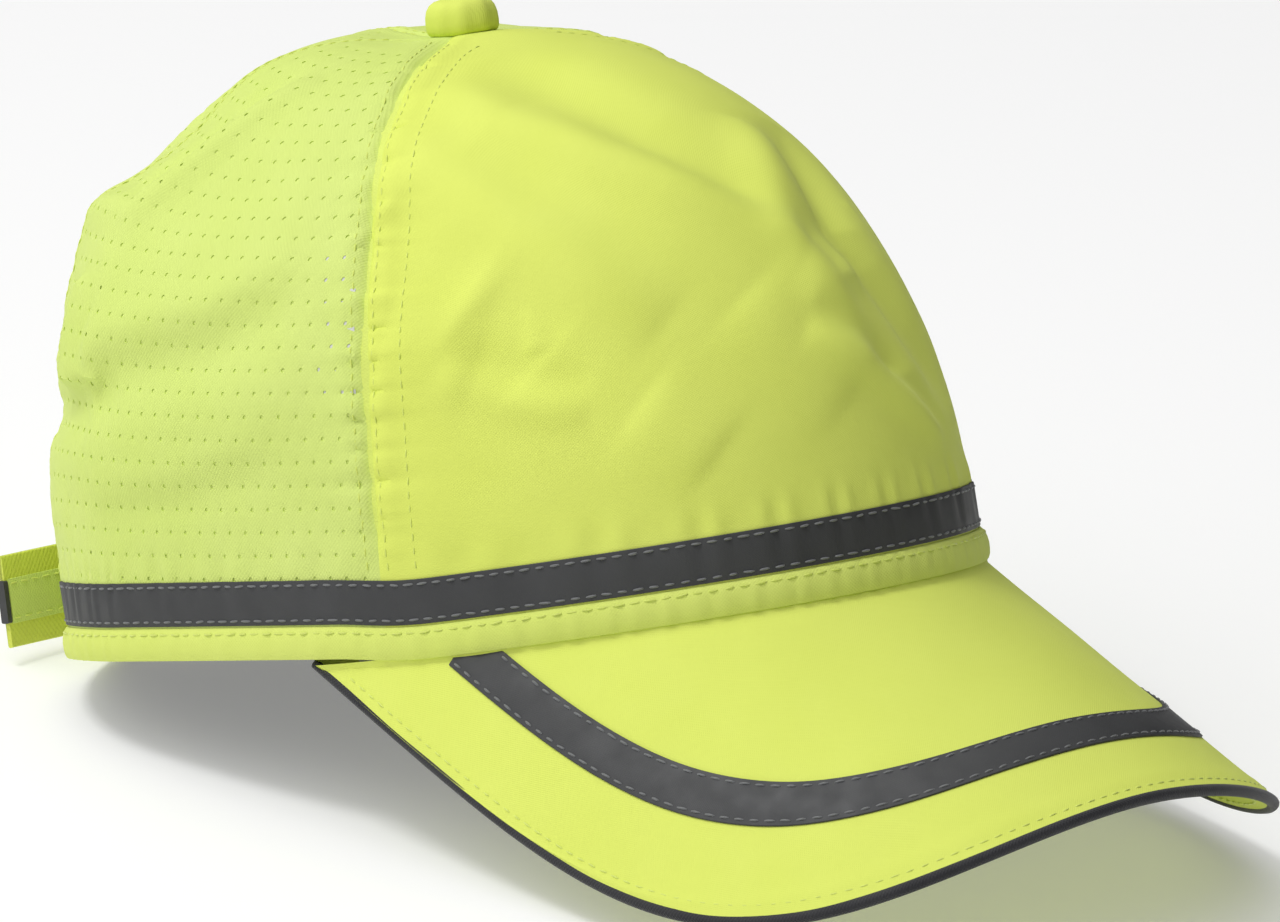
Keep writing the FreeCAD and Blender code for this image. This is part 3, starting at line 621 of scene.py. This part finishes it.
def net(name, first, last, material, out, depth, holes, step_u=1.0, arch=False):
    """A panel cut from knitted mesh, its rows following the rim."""
    middle = 0.5 * (first + last)
    tall = float(length(middle))
    rows = int(round(tall / ROW_STEP)) + 1
    rises = np.linspace(0.0, 1.0, rows)
    probe = np.linspace(first, last, 61)
    reach = [np.linalg.norm(np.diff(skin(part, 0.1 * length(part)), axis=0), axis=1).sum() * 1.08
             for part in (probe[:31], probe[30:])]
    before, after = [int(math.ceil(part / step_u)) + 4 for part in reach]
    offsets = np.arange(-before, after + 1)
    turn = np.zeros((len(offsets), rows))
    inside = np.zeros(turn.shape)
    for row, share in enumerate(rises):
        arc = run_along(skin(probe, share * length(probe)))
        arc -= np.interp(middle, probe, arc)
        turn[:, row] = np.interp(offsets * step_u, arc, probe)
        inside[:, row] = np.minimum(arc[-1] - offsets * step_u, offsets * step_u - arc[0])
    points, normals = crown(turn, rises[None] * length(turn), out)
    index = np.arange(turn.size).reshape(turn.shape)
    for row in range(rows):
        within = np.nonzero(inside[:, row] > 0)[0]
        index[:within[0], row] = index[within[0] - 1, row]
        index[within[-1] + 1:, row] = index[within[-1] + 1, row]
    gaps = np.full(turn.shape, 99.0)
    if arch:
        gap = arch_gap(points)
        above = np.maximum(points[..., 2] - ARCH_SPRING, 0.0)
        lift = np.stack((np.zeros(gap.shape), points[..., 1], above), -1)
        lift /= np.linalg.norm(lift, axis=-1, keepdims=True) + 1e-9
        close = np.abs(gap) < 0.72
        points = np.where(close[..., None], points - lift * gap[..., None], points)
        gaps = arch_gap(points)
    cloth = np.stack((offsets[:, None] * step_u + 0.0 * turn, rises[None] * tall + 0.0 * turn), -1)
    values = np.concatenate((points, normals, cloth), axis=-1).reshape(-1, 8)
    rings, faces = [], []
    taken = np.zeros(turn.shape, bool)
    for column, row in hole_places(inside, gaps, before) if holes else ():
        taken[column - 1:column + 1, row - 1:row + 1] = True
        rim = [int(index[column + du, row + dv]) for du, dv in HOLE_CORNERS]
        low = len(values) + len(rings)
        rings += hole_ring(values, index[column, row], rim)
        faces += [[rim[k], rim[(k + 1) % 8], low + (k + 1) % 8, low + k] for k in range(8)]
    for column in range(len(offsets) - 1):
        for row in range(rows - 1):
            if taken[column, row] or gaps[column:column + 2, row:row + 2].mean() < 0.0:
                continue
            corners = [int(index[column, row]), int(index[column + 1, row]),
                       int(index[column + 1, row + 1]), int(index[column, row + 1])]
            kept = [corner for place, corner in enumerate(corners) if corner != corners[place - 1]]
            if len(set(kept)) >= 3:
                faces.append(kept)
    used = sorted({corner for face in faces for corner in face})
    renumber = {old: new for new, old in enumerate(used)}
    faces = [[renumber[corner] for corner in face] for face in faces]
    values = np.concatenate((values, rings))[used] if rings else values[used]
    return sheet(name, values[:, :3], values[:, 3:6], faces, depth, material, values[:, 6:])


for side, sign in (("right", 1.0), ("left", -1.0)):
    for place, edges, arch in (("side", (60.0, 120.0), False), ("rear", (120.0, 180.0), True)):
        first, last = sorted(sign * edge for edge in edges)
        piece = net(f"{place}_mesh_{side}", first, last, netting, 0.0, 0.25, True, arch=arch)
        stands_for(f"{place}_mesh_panel_{side}")
        piece = net(f"{place}_mesh_backing_{side}", first, last, netting_back, -0.34, 0.3, False,
                    step_u=2.0, arch=arch)


def on_crown(path, across, out):
    """Sweep helper for strips that follow the rim."""
    return crown(path, across, out)[0]


def up_crown(turn):
    """Sweep helper for strips that follow a meridian; across is millimetres of arc."""
    def where(path, across, out):
        arc = np.maximum(degree_arc(skin(turn, path)), 0.15)
        return crown(turn + across / arc, path + 0.0 * across, out)[0]
    return where


# ---------------------------------------------------------------- seams of the crown
for number, seam in enumerate(SEAMS):
    low = 17.0 if abs(seam) < 170 else 57.0
    rises = np.arange(low, float(length(seam)) - 8.0, 1.0)
    arc = np.maximum(degree_arc(skin(seam, rises)), 0.15)
    for side, letter in ((-1.0, "a"), (1.0, "b")):
        for row, gap in enumerate((1.3, 5.4) if abs(seam) < 90 and side * seam < 0 else (1.7,)):
            route, normals = crown(seam + side * gap / arc, rises, 0.02)
            stitches(f"seam_stitches_{number}_{letter}{row}", route, normals, lime_thread,
                     pitch=2.7, long=1.7, wide=0.36, high=0.16)
    if abs(seam) < 90:
        across = np.linspace(1.4, 6.6, 7) * (1.0 if seam > 0 else -1.0)
        strip = [(place, -0.28) for place in across] + [(place, -0.36) for place in across[::-1]]
        sweep(f"seam_allowance_{'right' if seam > 0 else 'left'}", np.arange(50.0, 84.0, 2.0),
              strip, up_crown(seam), allowance)

TAPED = {"seam_tape_front_right": 60.0, "seam_tape_front_left": -60.0, "seam_tape_side_right": 120.0,
         "seam_tape_side_left": -120.0, "seam_tape_back": 180.0}
for node, turn in TAPED.items():
    low = 3.0 if turn < 170 else 61.0
    piece = sweep(node + "_cloth", np.arange(low, float(length(turn)) - 22.0, 2.0),
                  rounded(-4.3, 4.3, -1.25, -0.85, 0.15), up_crown(turn), hemming)
    stands_for(node)

columns, rows = 90, 60
turn_grid = np.repeat(np.linspace(-56.6, 56.6, columns)[:, None], rows, axis=1)
rise_grid = 3.0 + (length(turn_grid) - 29.0) * np.linspace(0.0, 1.0, rows)[None]
points, normals = crown(turn_grid, rise_grid, -1.28)
cloth = np.stack((turn_grid * 1.3, rise_grid), -1)
piece = sheet("front_lining_buckram", points, normals, grid_faces(columns, rows), 0.6, buckram, cloth)
stands_for("front_lining")

# ---------------------------------------------------------------- trim round the rim
rim_turns = np.linspace(-LEG_TURN, LEG_TURN, 420)
HEM = ((-0.35, 0.45), (0.1, 0.95), (0.9, 1.25), (2.0, 1.38), (3.2, 1.40), (4.4, 1.25), (5.4, 0.95),
       (6.1, 0.55), (6.45, 0.10), (6.3, -0.10), (3.0, -0.10), (0.0, -0.10), (-0.4, 0.05))


def rolled(path, across, out):
    swell = 1.0 + 0.10 * np.sin(path * 1.9) + 0.07 * np.sin(path * 3.1 + 1.0)
    return on_crown(path, across, np.where(out > 0.5, out * swell, out))


piece = sweep("rim_hem_cloth", rim_turns, HEM, rolled, hemming)
stands_for("rim_hem")
route, normals = crown(rim_turns, 5.3, 1.05)
stitches("hem_stitches", route, normals, lime_thread, pitch=3.1, long=2.2, high=0.2)

piece = sweep("crown_tape_strip", rim_turns, rounded(6.8, 15.6, -0.05, 0.42, 0.16), on_crown, tape)
stands_for("crown_reflective_tape")
for place, rise in (("low", 7.75), ("high", 14.65)):
    route, normals = crown(rim_turns, rise, 0.42)
    stitches(f"crown_tape_stitches_{place}", route, normals, pale_thread, pitch=3.1, long=2.2, wide=0.5)

piece = sweep("sweatband_terry_strip", np.linspace(-LEG_TURN + 1.0, LEG_TURN - 1.0, 240),
              [(rise, -inset) for rise, inset in rounded(1.0, 32.0, 2.13, 3.63, 0.7)], on_crown, band_cloth)
stands_for("sweatband")
for place, rise in (("low", 3.2), ("high", 29.5)):
    route, normals = crown(np.linspace(-LEG_TURN + 3.0, LEG_TURN - 3.0, 240), rise, -3.66)
    stitches(f"sweatband_stitches_{place}", route, -normals, dark_thread, pitch=3.4, long=2.4)

# ---------------------------------------------------------------- rear arch


def back_x(y, z):
    """How far back the crown's surface is at a side distance and a height."""
    y, z = np.broadcast_arrays(y, z)
    low, high = np.full(y.shape, 100.0), np.full(y.shape, 180.0)
    for _ in range(26):
        turn = 0.5 * (low + high)
        down, up = np.zeros(y.shape), np.ones(y.shape)
        for _ in range(26):
            swing = 0.5 * (down + up)
            point = skin_at(turn, swing)
            below = point[..., 2] < z
            down, up = np.where(below, swing, down), np.where(below, up, swing)
        wide = np.abs(point[..., 1]) > np.abs(y)
        low, high = np.where(wide, turn, low), np.where(wide, high, turn)
    return point[..., 0]


ARCH_LEG = np.arange(4.4, ARCH_SPRING, 1.4)
bow = np.linspace(0, math.pi, 61)
leg = np.ones(len(ARCH_LEG))
arch_side = np.concatenate((leg, np.cos(bow), -leg))
arch_up = np.concatenate((0.0 * leg, np.sin(bow), 0.0 * leg))
arch_base = np.concatenate((ARCH_LEG, np.full(len(bow), ARCH_SPRING), ARCH_LEG[::-1]))


def on_arch(path, width, depth):
    step = path.astype(int)
    y = arch_side[step] * width
    z = arch_base[step] + arch_up[step] * width
    return np.stack((back_x(y, z) + depth, y + 0.0 * depth, z + 0.0 * depth), -1)


piece = sweep("arch_binding_strip", np.arange(len(arch_side)), rounded(34.9, 37.9, -0.95, 2.1, 0.8),
              on_arch, hemming)
stands_for("arch_binding")
route = on_arch(np.arange(len(arch_side)), np.full(len(arch_side), 37.0), np.full(len(arch_side), -1.0))
stitches("arch_stitches", route, np.tile((-1.0, 0.0, 0.15), (len(route), 1)), lime_thread, pitch=3.0)

# ---------------------------------------------------------------- brim
HALF_WIDTH, REACH, TAIL = 95.3, 146.8, 72.0     # the outline's half width, length and hidden part
BRIM_TAPE = 17.0                                # how far in from the outline the tape starts


def on_brim(w, s, out):
    """A point of the brim's bent top face: w along its bend, s away from the crown."""
    angle = w / BEND
    drop = BEND * (1.0 - np.cos(angle))
    base = np.stack((BRIM_X + s * math.cos(PITCH) - drop * math.sin(PITCH), BEND * np.sin(angle) + 0.0 * s,
                     BRIM_Z - s * math.sin(PITCH) - drop * math.cos(PITCH)), -1)
    normal = np.stack((math.sin(PITCH) * np.cos(angle), np.sin(angle),
                       math.cos(PITCH) * np.cos(angle)), -1)
    normal = np.broadcast_to(normal, base.shape)
    return base + normal * np.asarray(out)[..., None], normal


def outline(angle, inset):
    """The brim's outline at an angle from its middle (-90 to 90 degrees), drawn in by an inset."""
    turn = np.radians(angle)
    across = np.sign(turn) * np.abs(np.sin(turn)) ** 0.8 * (HALF_WIDTH - inset)
    along = np.maximum(np.cos(turn), 0.0) ** (2.0 / 4.2) * (REACH - inset) - TAIL
    return across, along


def rim_on_brim(turn, inset):
    """Where the crown's rim stands on the brim, as (w, s)."""
    foot = skin(turn, 1.0) - outward(turn, 1.0) * inset
    angle = np.arcsin(np.clip(foot[..., 1] / BEND, -1.0, 1.0))
    along = (foot[..., 0] - BRIM_X + BEND * (1.0 - np.cos(angle)) * math.sin(PITCH)) / math.cos(PITCH)
    return BEND * angle, along


def corner(inset, rim_inset):
    """The outline angle at which an inset outline meets the crown's rim."""
    angles = 90.0 - 70.0 * np.linspace(1.0, 0.0, 1400) ** 3
    across, along = outline(angles, inset)
    turns = np.linspace(2.0, 100.0, 2000)
    rim_w, rim_s = rim_on_brim(-turns, rim_inset)
    beyond = along < np.interp(across, rim_w, rim_s)
    return float(angles[np.argmax(beyond)]) if beyond.any() else 90.0


def rim_turn_at(across, rim_inset):
    turns = np.linspace(-95.0, 95.0, 4000)
    rim_w, rim_s = rim_on_brim(-turns, rim_inset)
    order = np.argsort(rim_w)
    return np.interp(across, rim_w[order], rim_s[order])


def even_angles(inset, limit, step):
    """Outline angles spaced evenly along the outline."""
    part = np.linspace(-1.0, 1.0, 4001)
    dense = np.sign(part) * limit * (1.0 - (1.0 - np.abs(part)) ** 3)
    across, along = outline(dense, inset)
    run = run_along(np.stack((across, along), -1))
    return np.interp(np.linspace(0.0, run[-1], int(run[-1] / step)), run, dense)


def brim_relief(w, s, edge):
    """Soft swell of the covered brim; edge is the distance in from its outline."""
    swell = 0.22 * bell(edge - 4.6, 1.6) - 0.12 * bell(edge - 2.4, 0.8)
    swell += 0.10 * np.sin(w / 7.0 + s / 11.0) * np.sin(s / 9.0 + 1.0)
    return swell


def brim_sheet(name, top, depth, rim_inset, material, waves=True, margin=0.0, columns=260, rows=48):
    """A layer of the brim: depth goes down from top, or up from it where it is negative."""
    limit = corner(margin, rim_inset)
    angles = even_angles(margin, limit, 420.0 / columns)
    outer_w, outer_s = outline(angles, margin)
    inner_w = outer_w * np.interp(np.abs(angles), (0.0, limit), (0.86, 1.0))
    inner_s = rim_turn_at(inner_w, rim_inset)
    shares = np.linspace(0.0, 1.0, rows)[None]
    w = inner_w[:, None] + (outer_w - inner_w)[:, None] * shares
    s = inner_s[:, None] + (outer_s - inner_s)[:, None] * shares
    deep = np.hypot((outer_w - inner_w), (outer_s - inner_s))[:, None]
    edge = deep * (1.0 - shares)
    if margin:
        out = top + 0.0 * edge
    elif waves:
        out = top + brim_relief(w, s, edge) + bell(deep * shares, 0.9) * smooth(0.5, 3.0, edge)
    else:
        out = top + 1.0 - smooth(0.4, 4.2, edge)
    points, normals = on_brim(w, s, out)
    if depth < 0:
        normals = -normals
    return sheet(name, points, normals, grid_faces(*w.shape), abs(depth), material, np.stack((w, s), -1))


piece = brim_sheet("brim_top_cloth", 0.0, 0.68, 0.3, woven)
stands_for("brim_top_fabric")
piece = brim_sheet("brim_under_cloth", -2.9, -0.68, 1.6, woven, waves=False)
stands_for("brim_bottom_fabric")
piece = brim_sheet("brim_peak_board", -0.78, 1.30, 3.2, board_paint, margin=6.0)
stands_for("brim_board")

PIPING = ((-0.5, -0.02), (-0.1, 0.20), (0.45, 0.24), (0.9, 0.05), (1.2, -0.40), (1.28, -0.95),
          (1.18, -1.50), (0.85, -1.92), (0.4, -2.14), (-0.1, -2.12), (-0.5, -1.92), (-0.3, -0.95))


def on_edge(path, beyond, out):
    w, s = outline(path, -beyond)
    return on_brim(w, s, out + 0.0 * w)[0]


piece = sweep("brim_edge_cloth", even_angles(0.0, corner(0.0, 1.2), 1.5), PIPING, on_edge, edging)
stands_for("brim_edge_piping")

def on_tape(path, inset, out):
    w, s = outline(path, inset)
    return on_brim(w, s, out + brim_relief(w, s, inset + 0.0 * w))[0]


piece = sweep("brim_tape_strip", even_angles(BRIM_TAPE, corner(BRIM_TAPE, -0.9), 1.5),
              rounded(BRIM_TAPE, BRIM_TAPE + 8.8, -0.05, 0.42, 0.16), on_tape, tape)
stands_for("brim_reflective_tape")


def brim_stitches(name, inset, out, material, rim_inset=-0.6, under=False, **more):
    angles = even_angles(inset, corner(inset, rim_inset), 1.5)
    w, s = outline(angles, inset)
    relief_there = 0.0 if under else brim_relief(w, s, inset + 0.0 * w)
    route, normals = on_brim(w, s, out + relief_there + 0.0 * w)
    return stitches(name, route, -normals if under else normals, material, **more)


for place, inset in (("outer", 17.95), ("inner", 24.85)):
    brim_stitches(f"brim_tape_stitches_{place}", inset, 0.42, pale_thread, pitch=3.1, long=2.2, wide=0.5)
brim_stitches("brim_edge_stitches", 2.4, 0.02, lime_thread, pitch=3.0)
for number, inset in enumerate((2.4, 9.0, 16.0, 23.0, 30.0, 37.0, 44.0, 51.0)):
    brim_stitches(f"brim_under_stitches_{number}", inset, -2.95, lime_thread, under=True, pitch=3.2)

# ---------------------------------------------------------------- button
BUTTON_SEAT = HEIGHT + 0.6
BUTTON_LINE = ((2.0, 6.58), (3.8, 6.45), (5.2, 6.12), (6.2, 5.45), (6.9, 4.4), (7.25, 3.0), (7.35, 1.4),
               (7.25, 0.2), (6.9, -0.5), (6.4, -0.8), (6.15, -0.6))    # radius and height, from the top down
BUTTON_TOP, BUTTON_UNDERSIDE = 6.60, 5.65
SPOKES = 72


def covered_button():
    """A cloth-covered button: its gathered outside and a hollow underneath."""
    angles = np.arange(SPOKES) * 2.0 * math.pi / SPOKES

    def ring(radii, heights):
        return np.stack((BUTTON_X + radii * np.cos(angles), radii * np.sin(angles),
                         BUTTON_SEAT + heights + 0.0 * angles), -1)

    rings = []
    for radius, height in BUTTON_LINE:
        gathers = 0.022 * np.cos(angles * 9.0) * smooth(3.0, 7.0, radius)
        fold = 1.0 + gathers + 0.01 * np.cos(angles * 4.0 + 1.0)
        rings.append(ring(radius * fold, height + 0.10 * np.cos(angles * 3.0) * (radius > 2.0)))
    rings.append(ring(6.1, 4.4))
    top = [(BUTTON_X, 0.0, BUTTON_SEAT + BUTTON_TOP)]
    bottom = [(BUTTON_X, 0.0, BUTTON_SEAT + BUTTON_UNDERSIDE)]
    cloud = np.concatenate((top, *rings, bottom))
    faces = [[0, 1 + k, 1 + (k + 1) % SPOKES] for k in range(SPOKES)]
    for number in range(len(rings) - 1):
        base = 1 + number * SPOKES
        faces += [[base + k, base + SPOKES + k, base + SPOKES + (k + 1) % SPOKES, base + (k + 1) % SPOKES]
                  for k in range(SPOKES)]
    base = 1 + (len(rings) - 1) * SPOKES
    faces += [[base + k, base + SPOKES, base + (k + 1) % SPOKES] for k in range(SPOKES)]
    return mesh("button_covered", cloud, faces, woven, cloth=cloud[:, :2], sharp=60.0)


piece = covered_button()
stands_for("button_cover")

# ---------------------------------------------------------------- rear strap
STRAP_LOW, STRAP_HIGH = 9.5, 28.5
TAIL_TURN = 9.0               # degrees round the back where the tail runs off straight
STRAP_CENTRE_X = -10.7


def on_strap(end):
    """Sweep helper: path is degrees round the back up to end, then millimetres of straight run."""
    def where(path, z, radius):
        turn = np.radians(np.minimum(path, end))
        extra = np.maximum(path - end, 0.0)
        wave = 0.6 * smooth(6.0, 50.0, extra) * np.sin(extra / 17.0)
        x = STRAP_CENTRE_X - (radius + wave) * np.cos(turn) + extra * np.sin(turn)
        y = -(radius + wave) * np.sin(turn) - extra * np.cos(turn)
        return np.stack((x + 0.0 * z, y + 0.0 * z, z + 0.0 * x), -1)
    return where


def tail_route(first, straight):
    run_off = TAIL_TURN + np.arange(0.0, straight + 0.01, 1.0)
    return np.concatenate((np.arange(first, TAIL_TURN, 0.8), run_off))


strap_where = on_strap(TAIL_TURN)
strap_start, strap_end = to_row(strap_where(np.array((-25.0, -12.0)), 19.0, 96.3)).tolist()


def strap_section(inner, thick, low=STRAP_LOW, high=STRAP_HIGH):
    return rounded(low, high, inner, inner + thick, min(0.45, 0.4 * thick))


def strap_piece(name, path, section, material, node=None):
    piece = sweep(name, path, section, strap_where, material, body=None)
    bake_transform(piece)
    if node:
        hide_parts(node)
    return piece


strap_piece("strap_tail_webbing", tail_route(-27.0, 50.0), strap_section(95.75, 1.2), webbing,
            "strap_tail")
strap_piece("strap_tape_strip", tail_route(-25.0, 50.4), strap_section(96.97, 0.4, 14.6, 23.4), tape,
            "strap_reflective_tape")
strap_piece("strap_tape_end_fold", TAIL_TURN + np.linspace(49.4, 50.7, 4),
            strap_section(95.4, 1.95, 14.6, 23.4), tape)
strap_piece("strap_inner_band", tail_route(TAIL_TURN, 49.0)[1:], strap_section(95.55, 0.3, 14.4, 23.6),
            netting, None)
for place, z in (("low", 15.4), ("high", 22.6)):
    path = tail_route(-24.0, 49.0)
    for face, radius, sign in (("out", 97.38, 1.0), ("in", 95.52, -1.0)):
        route = strap_where(path if sign > 0 else path[path > 24.5], z, radius)
        flat = np.cross(np.gradient(route, axis=0), (0.0, 0.0, 1.0)) * -sign
        colour = pale_thread if sign > 0 else lime_thread
        piece = stitches(f"strap_stitches_{place}_{face}", route, -flat, colour, body=None, pitch=3.1,
                         high=0.2)
        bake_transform(piece)

under_where = on_strap(40.0)
piece = sweep("strap_under_webbing", np.arange(-12.0, 31.01, 0.8), strap_section(92.5, 1.2), under_where,
              webbing)
stands_for("strap_right")
piece = sweep("strap_anchor_cloth", np.linspace(-152.0, -146.0, 12), rounded(8.0, 24.0, 1.1, 3.9, 0.6),
              on_crown, webbing)
stands_for("strap_anchor_left")

# ---------------------------------------------------------------- foam pads
PAD_OUT, PAD_DEEP = 7.1, 4.95


def pad(name, first, last, node, low=22.0, high=59.0, columns=44, rows=30):
    """A die-cut foam pad with soft, rounded edges, between two turns and two rises."""
    us = np.linspace(-1.0, 1.0, columns)[:, None]
    vs = np.linspace(-1.0, 1.0, rows)[None]
    turn = 0.5 * (first + last) + 0.5 * (last - first) * us + 0.0 * vs
    rise = low + (high - low) * 0.5 * (1.0 + vs)
    swell = np.sqrt(np.maximum((1.0 - np.abs(us) ** 14) * (1.0 - np.abs(vs) ** 10), 0.0))
    base = skin(turn, rise)
    normal = outward(turn, rise)
    top = base - normal * PAD_OUT
    front = base - normal * (PAD_OUT + 0.8 + (PAD_DEEP - 0.8) * swell)[..., None]
    cloud = np.concatenate((front.reshape(-1, 3), top.reshape(-1, 3)))
    faces = thicken(front.reshape(-1, 3), normal.reshape(-1, 3), grid_faces(columns, rows), 0.0)[1]
    piece = mesh(name, cloud, faces, foam_paint, "insert", sharp=70.0)
    stands_for(node)


for place, first, last in (("front", -26.0, 26.0), ("right", 60.0, 120.0), ("left", -120.0, -60.0),
                           ("rear", 154.0, 206.0)):
    pad(f"foam_pad_{place}", first, last, f"insert_pad_{place}")

crown_turns = np.linspace(-180.0, 180.0, 145)[:-1]


def crown_pad_where(path, across, deep):
    across, deep = np.broadcast_arrays(across + 0.0 * path, deep + 0.0 * path)
    rise = length(path) - 46.0 + across
    return skin(path, rise) - outward(path, rise) * deep[..., None]


piece = sweep("foam_pad_crown", crown_turns, rounded(0.0, 32.0, PAD_OUT, PAD_OUT + PAD_DEEP, 1.6),
              crown_pad_where, foam_paint, "insert", ring=True, sharp=70.0)
stands_for("insert_pad_crown")

# ---------------------------------------------------------------- floor, light, camera
floor_data = bpy.data.meshes.new("floor")
floor_data.from_pydata([(-40, -40, 0), (40, -40, 0), (40, 40, 0), (-40, 40, 0)], [], [(0, 1, 2, 3)])
floor = bpy.data.objects.new("floor", floor_data)
scene.collection.objects.link(floor)
floor_paint = Paint("pale_floor", Roughness=0.9, Specular_IOR_Level=0.1)
floor_paint.shader.inputs["Base Color"].default_value = (0.80, 0.80, 0.80, 1.0)
floor_paint.shader.inputs["Emission Color"].default_value = (1.0, 1.0, 1.0, 1.0)
floor_paint.shader.inputs["Emission Strength"].default_value = 0.24
floor_data.materials.append(floor_paint.material)

world = bpy.data.worlds.new("studio")
scene.world = world
world.use_nodes = True
sky = world.node_tree
backdrop = sky.nodes["Background"]
facing = sky.nodes.new("ShaderNodeVectorMath")
facing.operation = "DOT_PRODUCT"
facing.inputs[1].default_value = (-0.17, -0.44, 0.88)
spread = sky.nodes.new("ShaderNodeMapRange")
spread.interpolation_type = "SMOOTHSTEP"
for socket, value in (("From Min", 0.32), ("From Max", 1.0), ("To Min", 0.0), ("To Max", 1.35)):
    spread.inputs[socket].default_value = value
sky.links.new(sky.nodes.new("ShaderNodeTexCoord").outputs["Generated"], facing.inputs[0])
sky.links.new(facing.outputs["Value"], spread.inputs["Value"])
sky.links.new(spread.outputs[0], backdrop.inputs[1])
backdrop.inputs[0].default_value = (1.0, 1.0, 1.0, 1.0)
scene.view_settings.view_transform = "Standard"

MIDDLE = Vector((0.0, 0.0, 0.07))


def softbox(name, azimuth, elevation, distance, size, power):
    light = bpy.data.lights.new(name, "AREA")
    light.shape = "SQUARE"
    light.size = size
    light.energy = power
    lamp = bpy.data.objects.new(name, light)
    scene.collection.objects.link(lamp)
    turn, lift = math.radians(azimuth), math.radians(elevation)
    away = Vector((math.sin(turn) * math.cos(lift), -math.cos(turn) * math.cos(lift), math.sin(lift)))
    lamp.location = MIDDLE + away * distance
    lamp.rotation_euler = (-away).to_track_quat("-Z", "Y").to_euler()
    return lamp


softbox("key", -28.0, 62.0, 1.6, 0.4, 8.5)
softbox("back", -130.0, 45.0, 1.8, 1.0, 0.8)

# The camera stands to the cap's front right, a little above its rim's level, and leans with it.
AROUND, ABOVE, ROLL = math.radians(49.0), math.radians(4.544), math.radians(7.015)
FAR = 2000.0
toward = np.array((math.sin(AROUND) * math.cos(ABOVE), -math.cos(AROUND) * math.cos(ABOVE), math.sin(ABOVE)))
flat_right = np.array((math.cos(AROUND), math.sin(AROUND), 0.0))
flat_up = np.cross(toward, flat_right)
right = flat_right * math.cos(ROLL) - flat_up * math.sin(ROLL)
up = flat_right * math.sin(ROLL) + flat_up * math.cos(ROLL)
look = right * 15.05 + up * 36.36
axes = [TURN_HEAD @ axis for axis in (right, up, toward)]
camera_data = bpy.data.cameras.new("camera")
camera_data.sensor_width = 36.0
camera_data.lens = 279.2
camera_data.clip_end = 200.0
camera = bpy.data.objects.new("camera", camera_data)
scene.collection.objects.link(camera)
facing_cap = Matrix([[axes[column][row] for column in range(3)] for row in range(3)])
camera.matrix_world = Matrix.Translation(Vector(to_row(look + toward * FAR))) @ facing_cap.to_4x4()
scene.camera = camera
